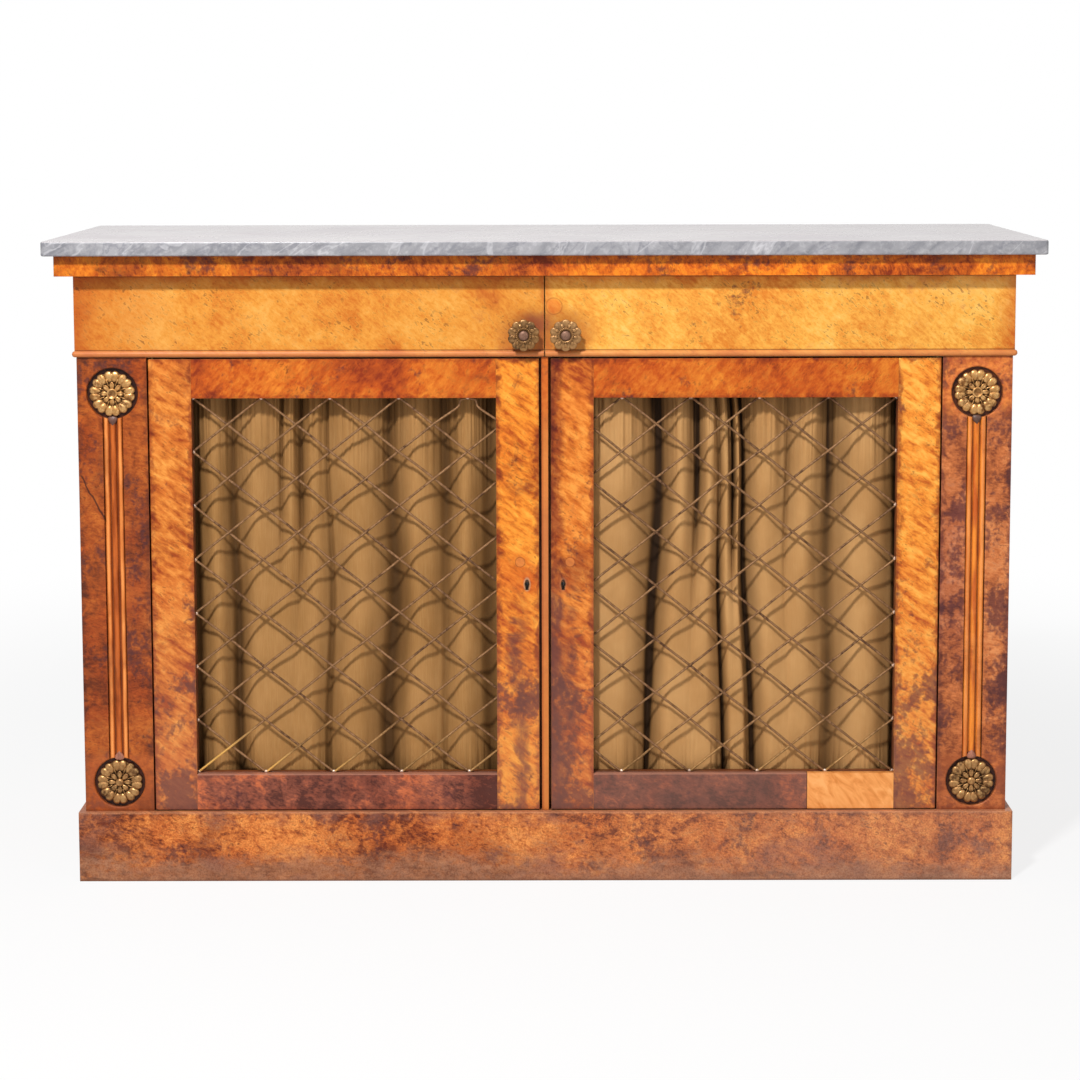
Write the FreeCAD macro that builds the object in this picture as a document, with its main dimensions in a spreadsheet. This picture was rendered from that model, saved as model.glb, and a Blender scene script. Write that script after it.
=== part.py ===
"""A side cabinet: marble top, two frieze drawers, and two trellised doors between pilasters.

+X is to the right, the front faces -Y and +Z is up. The origin is the middle of the box's underside.
"""

import FreeCAD, Part
import Sketcher
import math
import operator
import os

# Driving sizes in millimetres. A name that ends in share or count has no unit.
SIZES = {
    # Marble slab, and how far each part of the front stands back from its edge, at the sides as well
    "marble_width": 1400,
    "marble_depth": 430,
    "marble_thickness": 20.5,
    "marble_corner_radius": 6,
    "marble_edge_radius": 2.5,
    "cornice_setback": 15.3,
    "frieze_setback": 37.5,
    "pilaster_setback": 39.6,
    "plinth_setback": 30.6,
    # Heights of the front, from the floor up
    "plinth_height": 101,
    "front_height": 656,
    "frieze_height": 115.8,
    "cornice_height": 29,
    # Carcase boards
    "side_thickness": 20,
    "top_board_thickness": 18,
    "bottom_board_thickness": 18,
    "bottom_board_setback": 2,
    "housing_depth": 6,
    "top_rail_depth": 55,
    "rail_thickness": 12.5,
    "rail_depth": 60,
    "divider_thickness": 18,
    "shelf_thickness": 18,
    "shelf_height": 430,
    "shelf_front_gap": 26,
    "shelf_end_gap": 1,
    "bearer_thickness": 18,
    "bearer_height": 30,
    # Framed back
    "back_thickness": 18,
    "back_stile_width": 70,
    "back_rail_height": 70,
    "back_panel_thickness": 8,
    "back_groove_depth": 8,
    # Plinth
    "plinth_thickness": 22,
    "plinth_block_width": 40,
    # Pilasters, their roundels and reeds
    "pilaster_width": 98.4,
    "pilaster_thickness": 22,
    "roundel_radius": 36.3,
    "roundel_depth": 5,
    "roundel_bevel": 1.4,
    "upper_roundel_drop": 51,
    "lower_roundel_rise": 42,
    "channel_width": 28.6,
    "channel_depth": 4.2,
    "reed_radius": 3.9,
    "reed_pitch": 9.7,
    "reed_drop": 0.3,
    # Gilt rosettes
    "rosette_plate_radius": 27,
    "rosette_plate_thickness": 3.5,
    "outer_petal_radius": 5.7,
    "outer_petal_count": 16,
    "inner_petal_radius": 5.2,
    "inner_petal_ring_radius": 13.5,
    "inner_petal_rise": 2.5,
    "inner_petal_count": 8,
    "rosette_boss_radius": 6,
    "rosette_boss_rise": 5,
    # Doors
    "door_thickness": 22,
    "door_side_gap": 1.75,
    "door_top_gap": 2,
    "door_bottom_gap": 1.5,
    "door_stop_gap": 0.3,
    "door_edge_radius": 2.5,
    "stile_width": 60.5,
    "top_rail_height": 56,
    "bottom_rail_height": 52,
    "tenon_length": 32,
    "tenon_thickness": 8,
    "tenon_inset": 13,
    "rebate_width": 8,
    "rebate_lip": 9,
    # Fixed strip between the doors and the post behind it
    "strip_width": 9.5,
    "strip_gap": 3.8,
    "strip_setback": 0.4,
    "post_width": 60,
    "post_thickness": 22,
    # Pivots
    "pivot_pin_radius": 2.25,
    "pivot_bore_gap": 0.06,
    "pivot_edge_distance": 5.5,
    "pivot_pin_reach": 4.5,
    "pivot_end_gap": 0.5,
    "pivot_plate_length": 42,
    "pivot_plate_thickness": 2.5,
    "pivot_plate_margin": 3.4,
    "pivot_collar_radius": 3.2,
    "pivot_collar_gap": 0.3,
    # Trellis
    "trellis_wire": 3.2,
    "trellis_seat_gap": 0.4,
    "lozenge_width": 97.6,
    "lozenge_rows_count": 7,
    "lozenge_least_share": 0.02,
    # Gathered cloth and its rods
    "cloth_thickness": 1.6,
    "cloth_depth": 22,
    "fold_round_share": 0.42,
    "cloth_gap": 0.9,
    "cloth_side_lap": 13,
    "cloth_end_lap": 12,
    "rod_radius": 2.5,
    "rod_gap": 0.3,
    "rod_end_inset": 6,
    "rod_holder_width": 9,
    "rod_holder_margin": 2,
    # Locks, keyholes and bolts
    "lock_height": 431,
    "lock_length": 44,
    "lock_width": 58,
    "lock_thickness": 12,
    "lock_edge_inset": 1,
    "bolt_height": 14,
    "bolt_thickness": 5,
    "bolt_length": 30,
    "bolt_rise": 14,
    "bolt_gap": 0.3,
    "bolt_throw": 6,
    "bolt_mortise_gap": 0.6,
    "keyhole_inset": 17.2,
    "keyhole_radius": 2.3,
    "keyhole_slot_width": 2.2,
    "keyhole_slot_drop": 7.5,
    "keyhole_lining": 1.2,
    "keyhole_lining_depth": 3,
    # Frieze drawers and the bead on their lower edge
    "drawer_gap": 1,
    "drawer_middle_gap": 1.6,
    "drawer_back_gap": 0.6,
    "drawer_stop_gap": 0.3,
    "drawer_run_gap": 0.3,
    "drawer_guide_gap": 1,
    "drawer_lip": 3,
    "drawer_lip_gap": 0.3,
    "bead_radius": 4.4,
    "bead_projection": 3.7,
    "drawer_side_thickness": 12,
    "drawer_side_height": 88,
    "drawer_side_lap": 8,
    "drawer_rear_gap": 21,
    "drawer_bottom_thickness": 5,
    "drawer_bottom_rise": 6.2,
    "drawer_groove_depth": 6,
    "stop_length": 24,
    "stop_width": 40,
    "stop_height": 5.4,
    # Knobs
    "knob_offset": 29.5,
    "knob_rise": 31.5,
    "knob_foot_radius": 11,
    "knob_foot_rise": 2.5,
    "knob_neck_radius": 6,
    "knob_neck_rise": 11,
    "knob_head_radius": 18.5,
    "knob_head_thickness": 5,
    "knob_petal_radius": 6.2,
    "knob_petal_count": 10,
    "knob_boss_radius": 6.5,
    "knob_boss_rise": 5,
    "knob_screw_radius": 3,
    "knob_screw_gap": 0.2,
    "knob_nut_radius": 5.5,
    "knob_nut_thickness": 4,
    "knob_screw_overlength": 3,
    # Extra length of every cutting tool
    "overrun": 5,
}

# Widths of the cloth's ridges and hollows by turns, across each door from its meeting edge, as shares
LEFT_FOLD_SHARES = (10, 28, 39, 21, 60, 28, 22, 10, 36, 26, 30, 8, 58, 24, 28, 16)
RIGHT_FOLD_SHARES = (55, 8, 22, 23, 43, 16, 16, 8, 38, 10, 46, 12, 24, 32, 72, 18)
# How deep each section of the cloth waves, and how far its folds lean along the width, from the hem up
FOLD_DEPTH_SHARES = (1.0, 0.92, 0.84)
FOLD_LEAN_SHARES = (0.05, -0.03, 0.0)

OPERATIONS = {"+": operator.add, "-": operator.sub, "*": operator.mul, "/": operator.truediv}
UP = FreeCAD.Vector(0, 0, 1)
FORWARD = FreeCAD.Vector(0, -1, 0)
ALONG_X = FreeCAD.Vector(1, 0, 0)
LEFT, RIGHT = -1, 1
SIDE_NAMES = {LEFT: "left", RIGHT: "right"}

doc = FreeCAD.newDocument("side_cabinet")
sheet = doc.addObject("Spreadsheet::Sheet", "sizes")
for row, (alias, number) in enumerate(SIZES.items(), start=1):
    sheet.set(f"A{row}", alias)
    sheet.set(f"B{row}", str(number))
    sheet.setAlias(f"B{row}", alias)
doc.recompute()


class Size:
    """A length with the formula that gives it, so that sums of sizes stay bound to the sheet."""

    def __init__(self, text, value):
        self.text = text
        self.value = value

    def __add__(self, other):
        return worked(self, "+", other)

    def __radd__(self, other):
        return worked(other, "+", self)

    def __sub__(self, other):
        return worked(self, "-", other)

    def __rsub__(self, other):
        return worked(other, "-", self)

    def __mul__(self, other):
        return worked(self, "*", other)

    def __rmul__(self, other):
        return worked(other, "*", self)

    def __truediv__(self, other):
        return worked(self, "/", other)

    def __neg__(self):
        return worked(0, "-", self)


def sized(thing):
    return thing if isinstance(thing, Size) else Size(str(thing), float(thing))


def worked(first, sign, second):
    first, second = sized(first), sized(second)
    return Size(f"({first.text} {sign} {second.text})", OPERATIONS[sign](first.value, second.value))


def size(alias):
    return Size(f"sizes.{alias}", float(sheet.get(alias)))


def bind(piece, prop, length):
    piece.setExpression(prop, sized(length).text)


def place(piece, x=0, y=0, z=0):
    """Binds a piece's position to the sheet."""
    for axis, where in zip("xyz", (x, y, z)):
        bind(piece, f"Placement.Base.{axis}", where)


def across(side, low, high):
    """A stretch along X, given for the right-hand side, on the side asked for."""
    return (low, high) if side == RIGHT else (-high, -low)


def turned(direction):
    return FreeCAD.Rotation(UP, direction)


# Part primitives and booleans bound to the sheet

nodes = []


def keep(piece, name):
    """Makes a finished piece one of the cabinet's named parts."""
    piece.Label = name
    nodes.append(piece)
    return piece


def board(label, x, y, z):
    """A square board, from its low and high place along each axis."""
    made = doc.addObject("Part::Box", label)
    for prop, (low, high) in zip(("Length", "Width", "Height"), (x, y, z)):
        bind(made, prop, high - low)
    place(made, x[0], y[0], z[0])
    return made


def rod(label, radius, length, direction, x=0, y=0, z=0):
    """A round bar that starts at a point and runs along a direction."""
    made = doc.addObject("Part::Cylinder", label)
    made.Placement = FreeCAD.Placement(FreeCAD.Vector(), turned(direction))
    bind(made, "Radius", radius)
    bind(made, "Height", length)
    place(made, x, y, z)
    return made


def cone(label, first_radius, last_radius, length, direction, x, y, z):
    """A round bar that tapers evenly from its start to its end."""
    made = doc.addObject("Part::Cone", label)
    made.Placement = FreeCAD.Placement(FreeCAD.Vector(), turned(direction))
    bind(made, "Radius1", first_radius)
    bind(made, "Radius2", last_radius)
    bind(made, "Height", length)
    place(made, x, y, z)
    return made


def ball(label, radius, x, y, z):
    made = doc.addObject("Part::Sphere", label)
    bind(made, "Radius", radius)
    place(made, x, y, z)
    return made


def fused(label, *pieces):
    made = doc.addObject("Part::MultiFuse", label)
    made.Shapes = list(pieces)
    return made


def cut(label, base, *tools):
    made = doc.addObject("Part::Cut", label)
    made.Base = base
    made.Tool = tools[0] if len(tools) == 1 else fused(f"{label}_tools", *tools)
    return made


def grouped(label, *pieces):
    made = doc.addObject("Part::Compound", label)
    made.Links = list(pieces)
    return made


# Bodies made from sketches

def origin_plane(body, role):
    return next(item for item in body.Origin.OriginFeatures if item.Role == role)


def new_sketch(body, label, rise=0):
    """A sketch on the body's own ground plane, raised by a length."""
    sketch = body.newObject("Sketcher::SketchObject", label)
    sketch.AttachmentSupport = (origin_plane(body, "XY_Plane"), [""])
    sketch.MapMode = "FlatFace"
    bind(sketch, "AttachmentOffset.Base.z", rise)
    return sketch


def hold_point(sketch, geometry, point, x, y):
    """Fixes a point of the sketch at a place bound to the sheet."""
    for kind, where in (("DistanceX", x), ("DistanceY", y)):
        where = sized(where)
        index = sketch.addConstraint(Sketcher.Constraint(kind, -1, 1, geometry, point, where.value))
        sketch.setExpression(f"Constraints[{index}]", where.text)


def draw_outline(sketch, corners):
    """A closed outline of straight lines through corners given as sizes."""
    ends = [FreeCAD.Vector(sized(x).value, sized(y).value, 0) for x, y in corners]
    for index, start in enumerate(ends):
        sketch.addGeometry(Part.LineSegment(start, ends[(index + 1) % len(ends)]), False)
    for index in range(len(ends)):
        following = (index + 1) % len(ends)
        sketch.addConstraint(Sketcher.Constraint("Coincident", index, 2, following, 1))
    for index, (x, y) in enumerate(corners):
        hold_point(sketch, index, 1, x, y)


def draw_circle(sketch, radius, x=0, y=0):
    radius = sized(radius)
    centre = FreeCAD.Vector(sized(x).value, sized(y).value, 0)
    circle = sketch.addGeometry(Part.Circle(centre, UP, radius.value), False)
    index = sketch.addConstraint(Sketcher.Constraint("Radius", circle, radius.value))
    sketch.setExpression(f"Constraints[{index}]", radius.text)
    hold_point(sketch, circle, 3, x, y)


def pad(body, sketch, length):
    made = body.newObject("PartDesign::Pad", f"{sketch.Name}_pad")
    made.Profile = sketch
    bind(made, "Length", length)
    sketch.Visibility = False
    return made


def prism(label, corners, low, high):
    """A board whose plan is an outline, from one height to another."""
    body = doc.addObject("PartDesign::Body", label)
    sketch = new_sketch(body, f"{label}_plan", low)
    draw_outline(sketch, corners)
    pad(body, sketch, high - low)
    return body


def padded_disc(body, label, radius, rise, thickness):
    sketch = new_sketch(body, f"{label}_circle", rise)
    draw_circle(sketch, radius)
    return pad(body, sketch, thickness)


def petal_ring(body, label, petal_radius, ring_radius, rise, thickness, count):
    """A ring of round petals, made as one petal and a polar pattern of it."""
    sketch = new_sketch(body, f"{label}_petal", rise)
    draw_circle(sketch, petal_radius, ring_radius, 0)
    petal = pad(body, sketch, thickness)
    doc.recompute()
    ring = body.newObject("PartDesign::PolarPattern", f"{label}_petals")
    ring.Originals = [petal]
    ring.Axis = (sketch, ["N_Axis"])
    ring.Angle = 360
    bind(ring, "Occurrences", count)
    body.Tip = ring
    doc.recompute()
    return ring


def edges_where(shape, test):
    """Names of a shape's edges whose two ends both pass a test."""
    return [
        f"Edge{index}"
        for index, edge in enumerate(shape.Edges, start=1)
        if all(test(vertex.Point) for vertex in edge.Vertexes)
    ]


def rounded(body, base, edge_names, radius, label):
    made = body.newObject("PartDesign::Fillet", label)
    made.Base = (base, edge_names)
    bind(made, "Radius", radius)
    doc.recompute()
    return made


# Heights, from the floor up

over = size("overrun")
plinth_top = size("plinth_height")
drawer_line = plinth_top + size("front_height")
cornice_bottom = drawer_line + size("frieze_height")
marble_bottom = cornice_bottom + size("cornice_height")
marble_top = marble_bottom + size("marble_thickness")
rail_bottom = drawer_line - size("drawer_gap")
rail_top = rail_bottom + size("rail_thickness")
top_board_bottom = marble_bottom - size("top_board_thickness")
bottom_board_top = plinth_top + size("bottom_board_thickness")

# Places along Y, from the front back

marble_front = -size("marble_depth") / 2
back_face = size("marble_depth") / 2
cornice_face = marble_front + size("cornice_setback")
plinth_face = marble_front + size("plinth_setback")
frieze_face = marble_front + size("frieze_setback")
door_face = marble_front + size("pilaster_setback")
rail_front = frieze_face + size("drawer_lip") + size("drawer_lip_gap")
carcase_front = door_face + size("pilaster_thickness")
door_back = door_face + size("door_thickness")
post_front = door_back + size("door_stop_gap")
post_back = post_front + size("post_thickness")
bottom_board_front = door_back + size("bottom_board_setback")
drawer_front_back = carcase_front - size("drawer_back_gap")
back_frame_face = back_face - size("back_thickness")

# Places along X, from the middle out

marble_half = size("marble_width") / 2
cornice_half = marble_half - size("cornice_setback")
plinth_half = marble_half - size("plinth_setback")
frieze_half = marble_half - size("frieze_setback")
carcase_half = marble_half - size("pilaster_setback")
inner_half = carcase_half - size("side_thickness")
housed_half = inner_half + size("housing_depth")
opening_half = carcase_half - size("pilaster_width")
door_outer = opening_half - size("door_side_gap")
door_inner = size("strip_width") / 2 + size("strip_gap")


def marble():
    """The slab, with rounded corners and eased edges."""
    label = "marble_top"
    body = doc.addObject("PartDesign::Body", label)
    sketch = new_sketch(body, f"{label}_plan", marble_bottom)
    front, back = marble_front, back_face
    corners = [(-marble_half, front), (marble_half, front), (marble_half, back), (-marble_half, back)]
    draw_outline(sketch, corners)
    slab = pad(body, sketch, size("marble_thickness"))
    doc.recompute()
    uprights = [
        f"Edge{index}"
        for index, edge in enumerate(slab.Shape.Edges, start=1)
        if abs(edge.tangentAt(edge.FirstParameter).z) > 0.5
    ]
    eased = rounded(body, slab, uprights, size("marble_corner_radius"), f"{label}_corners")
    middle = marble_bottom.value + size("marble_thickness").value / 2
    rims = edges_where(eased.Shape, lambda point: point.z > middle)
    rims += edges_where(eased.Shape, lambda point: point.z < middle)
    rounded(body, eased, rims, size("marble_edge_radius"), f"{label}_rims")
    keep(body, label)


def cornice():
    """A square band under the marble: a front piece mitred to a return at each side."""
    inner = carcase_half
    inner_front = cornice_face + (cornice_half - carcase_half)
    front = [
        (-cornice_half, cornice_face),
        (cornice_half, cornice_face),
        (inner, inner_front),
        (-inner, inner_front),
    ]
    keep(prism("cornice_front", front, cornice_bottom, marble_bottom), "cornice_front")
    returns = []
    for side in (LEFT, RIGHT):
        plan = [
            (cornice_half * side, cornice_face),
            (cornice_half * side, back_face),
            (inner * side, back_face),
            (inner * side, inner_front),
        ]
        returns.append(prism(f"cornice_{SIDE_NAMES[side]}_return", plan, cornice_bottom, marble_bottom))
    keep(grouped("cornice_returns", *returns), "cornice_returns")
    return inner_front


def carcase(top_front):
    """Boards of the box, with the rail and dust board under the drawers and the divider between them."""
    for side in (LEFT, RIGHT):
        name = f"side_{SIDE_NAMES[side]}"
        blank = board(
            f"{name}_blank",
            across(side, inner_half, carcase_half),
            (carcase_front, back_face),
            (plinth_top, top_board_bottom),
        )
        housing_x = across(side, inner_half - over, housed_half)
        bottom_housing = board(
            f"{name}_bottom_housing",
            housing_x,
            (bottom_board_front, back_frame_face),
            (plinth_top - over, bottom_board_top),
        )
        rail_housing = board(
            f"{name}_rail_housing",
            housing_x,
            (carcase_front - over, back_frame_face),
            (rail_bottom, rail_top),
        )
        keep(cut(name, blank, bottom_housing, rail_housing), name)

    width = (-carcase_half, carcase_half)
    keep(board("top_board", width, (top_front, back_face), (top_board_bottom, marble_bottom)), "top_board")
    between = (-inner_half, inner_half)
    top_rail_y = (top_front, top_front + size("top_rail_depth"))
    keep(board("top_rail", between, top_rail_y, (cornice_bottom, top_board_bottom)), "top_rail")

    rail_back = rail_front + size("rail_depth")
    rail_plan = [
        (-carcase_half, rail_front),
        (carcase_half, rail_front),
        (carcase_half, carcase_front),
        (housed_half, carcase_front),
        (housed_half, rail_back),
        (-housed_half, rail_back),
        (-housed_half, carcase_front),
        (-carcase_half, carcase_front),
    ]
    rail = prism("drawer_rail_blank", rail_plan, rail_bottom, rail_top)
    recesses = [socket_recess(side, "upper") for side in (LEFT, RIGHT)]
    keep(cut("drawer_rail", rail, *recesses), "drawer_rail")
    housed = (-housed_half, housed_half)
    dust_board = board("dust_board", housed, (rail_back, back_frame_face), (rail_bottom, rail_top))
    keep(dust_board, "dust_board")

    half = size("divider_thickness") / 2
    divider_z = (rail_top, top_board_bottom)
    divider_front = top_front + size("top_rail_depth")
    upper = board("divider_body", (-half, half), (divider_front, back_frame_face), divider_z)
    lower_z = (rail_top, cornice_bottom)
    lower = board("divider_nose", (-half, half), (carcase_front, divider_front + over), lower_z)
    keep(fused("drawer_divider", upper, lower), "drawer_divider")

    bottom_y = (bottom_board_front, back_frame_face)
    keep(board("bottom_board", housed, bottom_y, (plinth_top, bottom_board_top)), "bottom_board")


def frieze_returns():
    """A thin facing along each side, level with the drawer fronts, with the bead along its lower edge."""
    pieces = []
    for side in (LEFT, RIGHT):
        name = f"frieze_{SIDE_NAMES[side]}_return"
        facing = board(
            f"{name}_facing",
            across(side, carcase_half, frieze_half),
            (carcase_front, back_face),
            (drawer_line, cornice_bottom),
        )
        bead_x = frieze_half - size("bead_radius") + size("bead_projection")
        bead_z = drawer_line + size("bead_radius")
        length = back_face - carcase_front
        bead = rod(f"{name}_bead", size("bead_radius"), length, FORWARD, bead_x * side, back_face, bead_z)
        hidden = board(
            f"{name}_hidden",
            across(side, carcase_half - over * 2, carcase_half),
            (carcase_front - over, back_face + over),
            (drawer_line - over, cornice_bottom + over),
        )
        pieces.append(cut(name, fused(f"{name}_blank", facing, bead), hidden))
    keep(grouped("frieze_returns", *pieces), "frieze_returns")


def plinth():
    """A frame on the floor, of four rails with glue blocks inside."""
    thickness = size("plinth_thickness")
    height = (0, plinth_top)
    front_back = plinth_face + thickness
    front = board("plinth_front_blank", (-plinth_half, plinth_half), (plinth_face, front_back), height)
    recesses = [socket_recess(side, "lower") for side in (LEFT, RIGHT)]
    keep(cut("plinth_front", front, *recesses), "plinth_front")
    sides = [
        board(
            f"plinth_{SIDE_NAMES[side]}",
            across(side, plinth_half - thickness, plinth_half),
            (front_back, back_face),
            height,
        )
        for side in (LEFT, RIGHT)
    ]
    keep(grouped("plinth_sides", *sides), "plinth_sides")
    inside = plinth_half - thickness
    back_inside = back_face - thickness
    keep(board("plinth_back", (-inside, inside), (back_inside, back_face), height), "plinth_back")

    block = size("plinth_block_width")
    columns = [(-inside, -inside + block), (-block / 2, block / 2), (inside - block, inside)]
    rows = [(front_back, front_back + block), (back_inside - block, back_inside)]
    blocks = [
        board(f"plinth_block_{column}_{row}", x, y, height)
        for column, x in enumerate(columns)
        for row, y in enumerate(rows)
    ]
    keep(grouped("plinth_blocks", *blocks), "plinth_blocks")


def back():
    """A framed back: three stiles, four short rails and two panels held in grooves."""
    stile = size("back_stile_width")
    rail = size("back_rail_height")
    groove = size("back_groove_depth")
    y = (back_frame_face, back_face)
    z = (plinth_top, top_board_bottom)
    middle = (back_frame_face + back_face) / 2
    half_panel = size("back_panel_thickness") / 2
    panel_y = (middle - half_panel, middle + half_panel)
    stile_places = [
        (-inner_half, -inner_half + stile),
        (-stile / 2, stile / 2),
        (inner_half - stile, inner_half),
    ]
    panels = []
    rails = []
    grooves = []
    for side in (LEFT, RIGHT):
        name = SIDE_NAMES[side]
        opening = across(side, stile / 2, inner_half - stile)
        panel_x = (opening[0] - groove, opening[1] + groove)
        panel_z = (z[0] + rail - groove, z[1] - rail + groove)
        panels.append(board(f"back_{name}_panel", panel_x, panel_y, panel_z))
        groove_tool = board(f"back_{name}_groove", panel_x, panel_y, panel_z)
        grooves.append(groove_tool)
        for end, rail_z in (("lower", (z[0], z[0] + rail)), ("upper", (z[1] - rail, z[1]))):
            blank = board(f"back_{name}_{end}_rail_blank", opening, y, rail_z)
            rails.append(cut(f"back_{name}_{end}_rail", blank, groove_tool))
    stiles = []
    for index, x in enumerate(stile_places):
        blank = board(f"back_stile_{index}_blank", x, y, z)
        stiles.append(cut(f"back_stile_{index}", blank, *grooves))
    keep(grouped("back_stiles", *stiles), "back_stiles")
    keep(grouped("back_rails", *rails), "back_rails")
    keep(grouped("back_panels", *panels), "back_panels")


def shelf():
    """One loose shelf on a bearer at each side and one along the back."""
    top = size("shelf_height")
    bottom = top - size("shelf_thickness")
    front = post_front + size("shelf_front_gap")
    x = inner_half - size("shelf_end_gap")
    keep(board("shelf", (-x, x), (front, back_frame_face), (bottom, top)), "shelf")
    bearer_z = (bottom - size("bearer_height"), bottom)
    thickness = size("bearer_thickness")
    bearers = [
        board(
            f"bearer_{SIDE_NAMES[side]}",
            across(side, inner_half - thickness, inner_half),
            (front, back_frame_face),
            bearer_z,
        )
        for side in (LEFT, RIGHT)
    ]
    between = inner_half - thickness
    back_y = (back_frame_face - thickness, back_frame_face)
    bearers.append(board("bearer_back", (-between, between), back_y, bearer_z))
    keep(grouped("shelf_bearers", *bearers), "shelf_bearers")


def bolt_z():
    low = size("lock_height") + size("bolt_rise")
    return low, low + size("bolt_height")


def post():
    """The slim strip between the doors, on the post that stops them, with a mortise for each bolt."""
    strip_half = size("strip_width") / 2
    post_half = size("post_width") / 2
    strip_y = (door_face + size("strip_setback"), post_front)
    strip = board("post_strip", (-strip_half, strip_half), strip_y, (plinth_top, rail_bottom))
    post_x = (-post_half, post_half)
    backing = board("post_backing", post_x, (post_front, post_back), (bottom_board_top, rail_bottom))
    foot_y = (post_front, bottom_board_front)
    foot = board("post_foot", post_x, foot_y, (plinth_top, bottom_board_top))
    gap = size("bolt_mortise_gap")
    low, high = bolt_z()
    y_low, y_high = bolt_y()
    thrown_end = door_inner + size("bolt_gap") - size("bolt_throw")
    mortises = [
        board(
            f"{SIDE_NAMES[side]}_bolt_mortise",
            across(side, thrown_end - gap, strip_half + over),
            (y_low - gap, y_high + gap),
            (low - gap, high + gap),
        )
        for side in (LEFT, RIGHT)
    ]
    keep(cut("centre_post", fused("post_blank", strip, backing, foot), *mortises), "centre_post")


def roundel_heights():
    return {
        "upper": rail_bottom - size("upper_roundel_drop"),
        "lower": plinth_top + size("lower_roundel_rise"),
    }


def roundel(label, x, height):
    """A round recess with a bevelled rim, sunk in a pilaster's face."""
    radius = size("roundel_radius")
    bevel = size("roundel_bevel")
    floor = door_face + size("roundel_depth")
    well = rod(f"{label}_well", radius, floor - door_face + over, FORWARD, x, floor, height)
    rim_start = door_face + bevel
    rim = cone(f"{label}_rim", radius, radius + bevel * 2, bevel * 2, FORWARD, x, rim_start, height)
    return fused(label, well, rim)


def pilaster(side):
    """A flat pilaster with a channel of three reeds that runs from one round recess to the other."""
    name = f"pilaster_{SIDE_NAMES[side]}"
    blank = board(
        f"{name}_blank",
        across(side, opening_half, carcase_half),
        (door_face, carcase_front),
        (plinth_top, rail_bottom),
    )
    middle = (opening_half + carcase_half) / 2 * side
    heights = roundel_heights()
    recesses = [roundel(f"{name}_{which}_roundel", middle, height) for which, height in heights.items()]
    channel_z = (heights["lower"], heights["upper"])
    half = size("channel_width") / 2
    channel_y = (door_face - over, door_face + size("channel_depth"))
    channel = board(f"{name}_channel", (middle - half, middle + half), channel_y, channel_z)
    reed_y = door_face + size("reed_drop") + size("reed_radius")
    length = channel_z[1] - channel_z[0] + over * 2
    reeds = [
        rod(
            f"{name}_reed_{step + 1}",
            size("reed_radius"),
            length,
            UP,
            middle + size("reed_pitch") * step,
            reed_y,
            channel_z[0] - over,
        )
        for step in (-1, 0, 1)
    ]
    keep(cut(name, blank, *recesses, cut(f"{name}_quirks", channel, *reeds)), name)


def rosette(label, side, height):
    """A cast rosette: a plate with a ring of petals, an inner ring and a boss, seated in its recess."""
    body = doc.addObject("PartDesign::Body", label)
    thickness = size("rosette_plate_thickness")
    plate_radius = size("rosette_plate_radius")
    padded_disc(body, f"{label}_plate", plate_radius, 0, thickness)
    petal_ring(
        body,
        f"{label}_outer",
        size("outer_petal_radius"),
        plate_radius,
        0,
        thickness,
        size("outer_petal_count"),
    )
    petal_ring(
        body,
        f"{label}_inner",
        size("inner_petal_radius"),
        size("inner_petal_ring_radius"),
        thickness,
        size("inner_petal_rise"),
        size("inner_petal_count"),
    )
    padded_disc(body, f"{label}_boss", size("rosette_boss_radius"), thickness, size("rosette_boss_rise"))
    body.Placement = FreeCAD.Placement(FreeCAD.Vector(), turned(FORWARD))
    middle = (opening_half + carcase_half) / 2 * side
    place(body, middle, door_face + size("roundel_depth"), height)
    return body


def rosettes():
    for which, height in roundel_heights().items():
        pair = [rosette(f"{which}_{SIDE_NAMES[side]}_rosette", side, height) for side in (LEFT, RIGHT)]
        keep(grouped(f"{which}_rosettes", *pair), f"{which}_rosettes")


# Doors. Their edges, worked out once for the right-hand door

door_bottom = plinth_top + size("door_bottom_gap")
door_top = rail_bottom - size("door_top_gap")
window_x = (door_inner + size("stile_width"), door_outer - size("stile_width"))
window_z = (door_bottom + size("bottom_rail_height"), door_top - size("top_rail_height"))
rebate_y = door_face + size("rebate_lip")
pivot_x = door_outer - size("pivot_edge_distance")
pivot_y = door_face + size("pivot_edge_distance")


def grown(stretch, length):
    """A stretch made longer by a length at both ends."""
    return stretch[0] - length, stretch[1] + length


def pivot_plate(label, side, z):
    """The plan of a pivot's plate, or of the recess that takes it, over a stretch of height."""
    margin = size("pivot_plate_margin")
    x = across(side, pivot_x + margin - size("pivot_plate_length"), pivot_x + margin)
    return board(label, x, grown((pivot_y, pivot_y), margin), z)


def socket_stretch(end):
    """Heights of a socket plate, let in flush with the rail above the door or the plinth below it."""
    thickness = size("pivot_plate_thickness")
    if end == "upper":
        return rail_bottom, rail_bottom + thickness
    return plinth_top - thickness, plinth_top


def socket_recess(side, end):
    """The recess for a socket plate, with a well for the end of the pin."""
    name = f"{SIDE_NAMES[side]}_{end}_socket"
    low, high = socket_stretch(end)
    well_radius = size("pivot_pin_radius") + size("pivot_end_gap")
    reach = size("pivot_pin_reach") + size("pivot_end_gap")
    if end == "upper":
        plate = pivot_plate(f"{name}_recess", side, (low - over, high))
        well = rod(f"{name}_well", well_radius, reach, UP, pivot_x * side, pivot_y, low)
    else:
        plate = pivot_plate(f"{name}_recess", side, (low, high + over))
        well = rod(f"{name}_well", well_radius, reach, -UP, pivot_x * side, pivot_y, high)
    return fused(f"{name}_cutter", plate, well)


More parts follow.
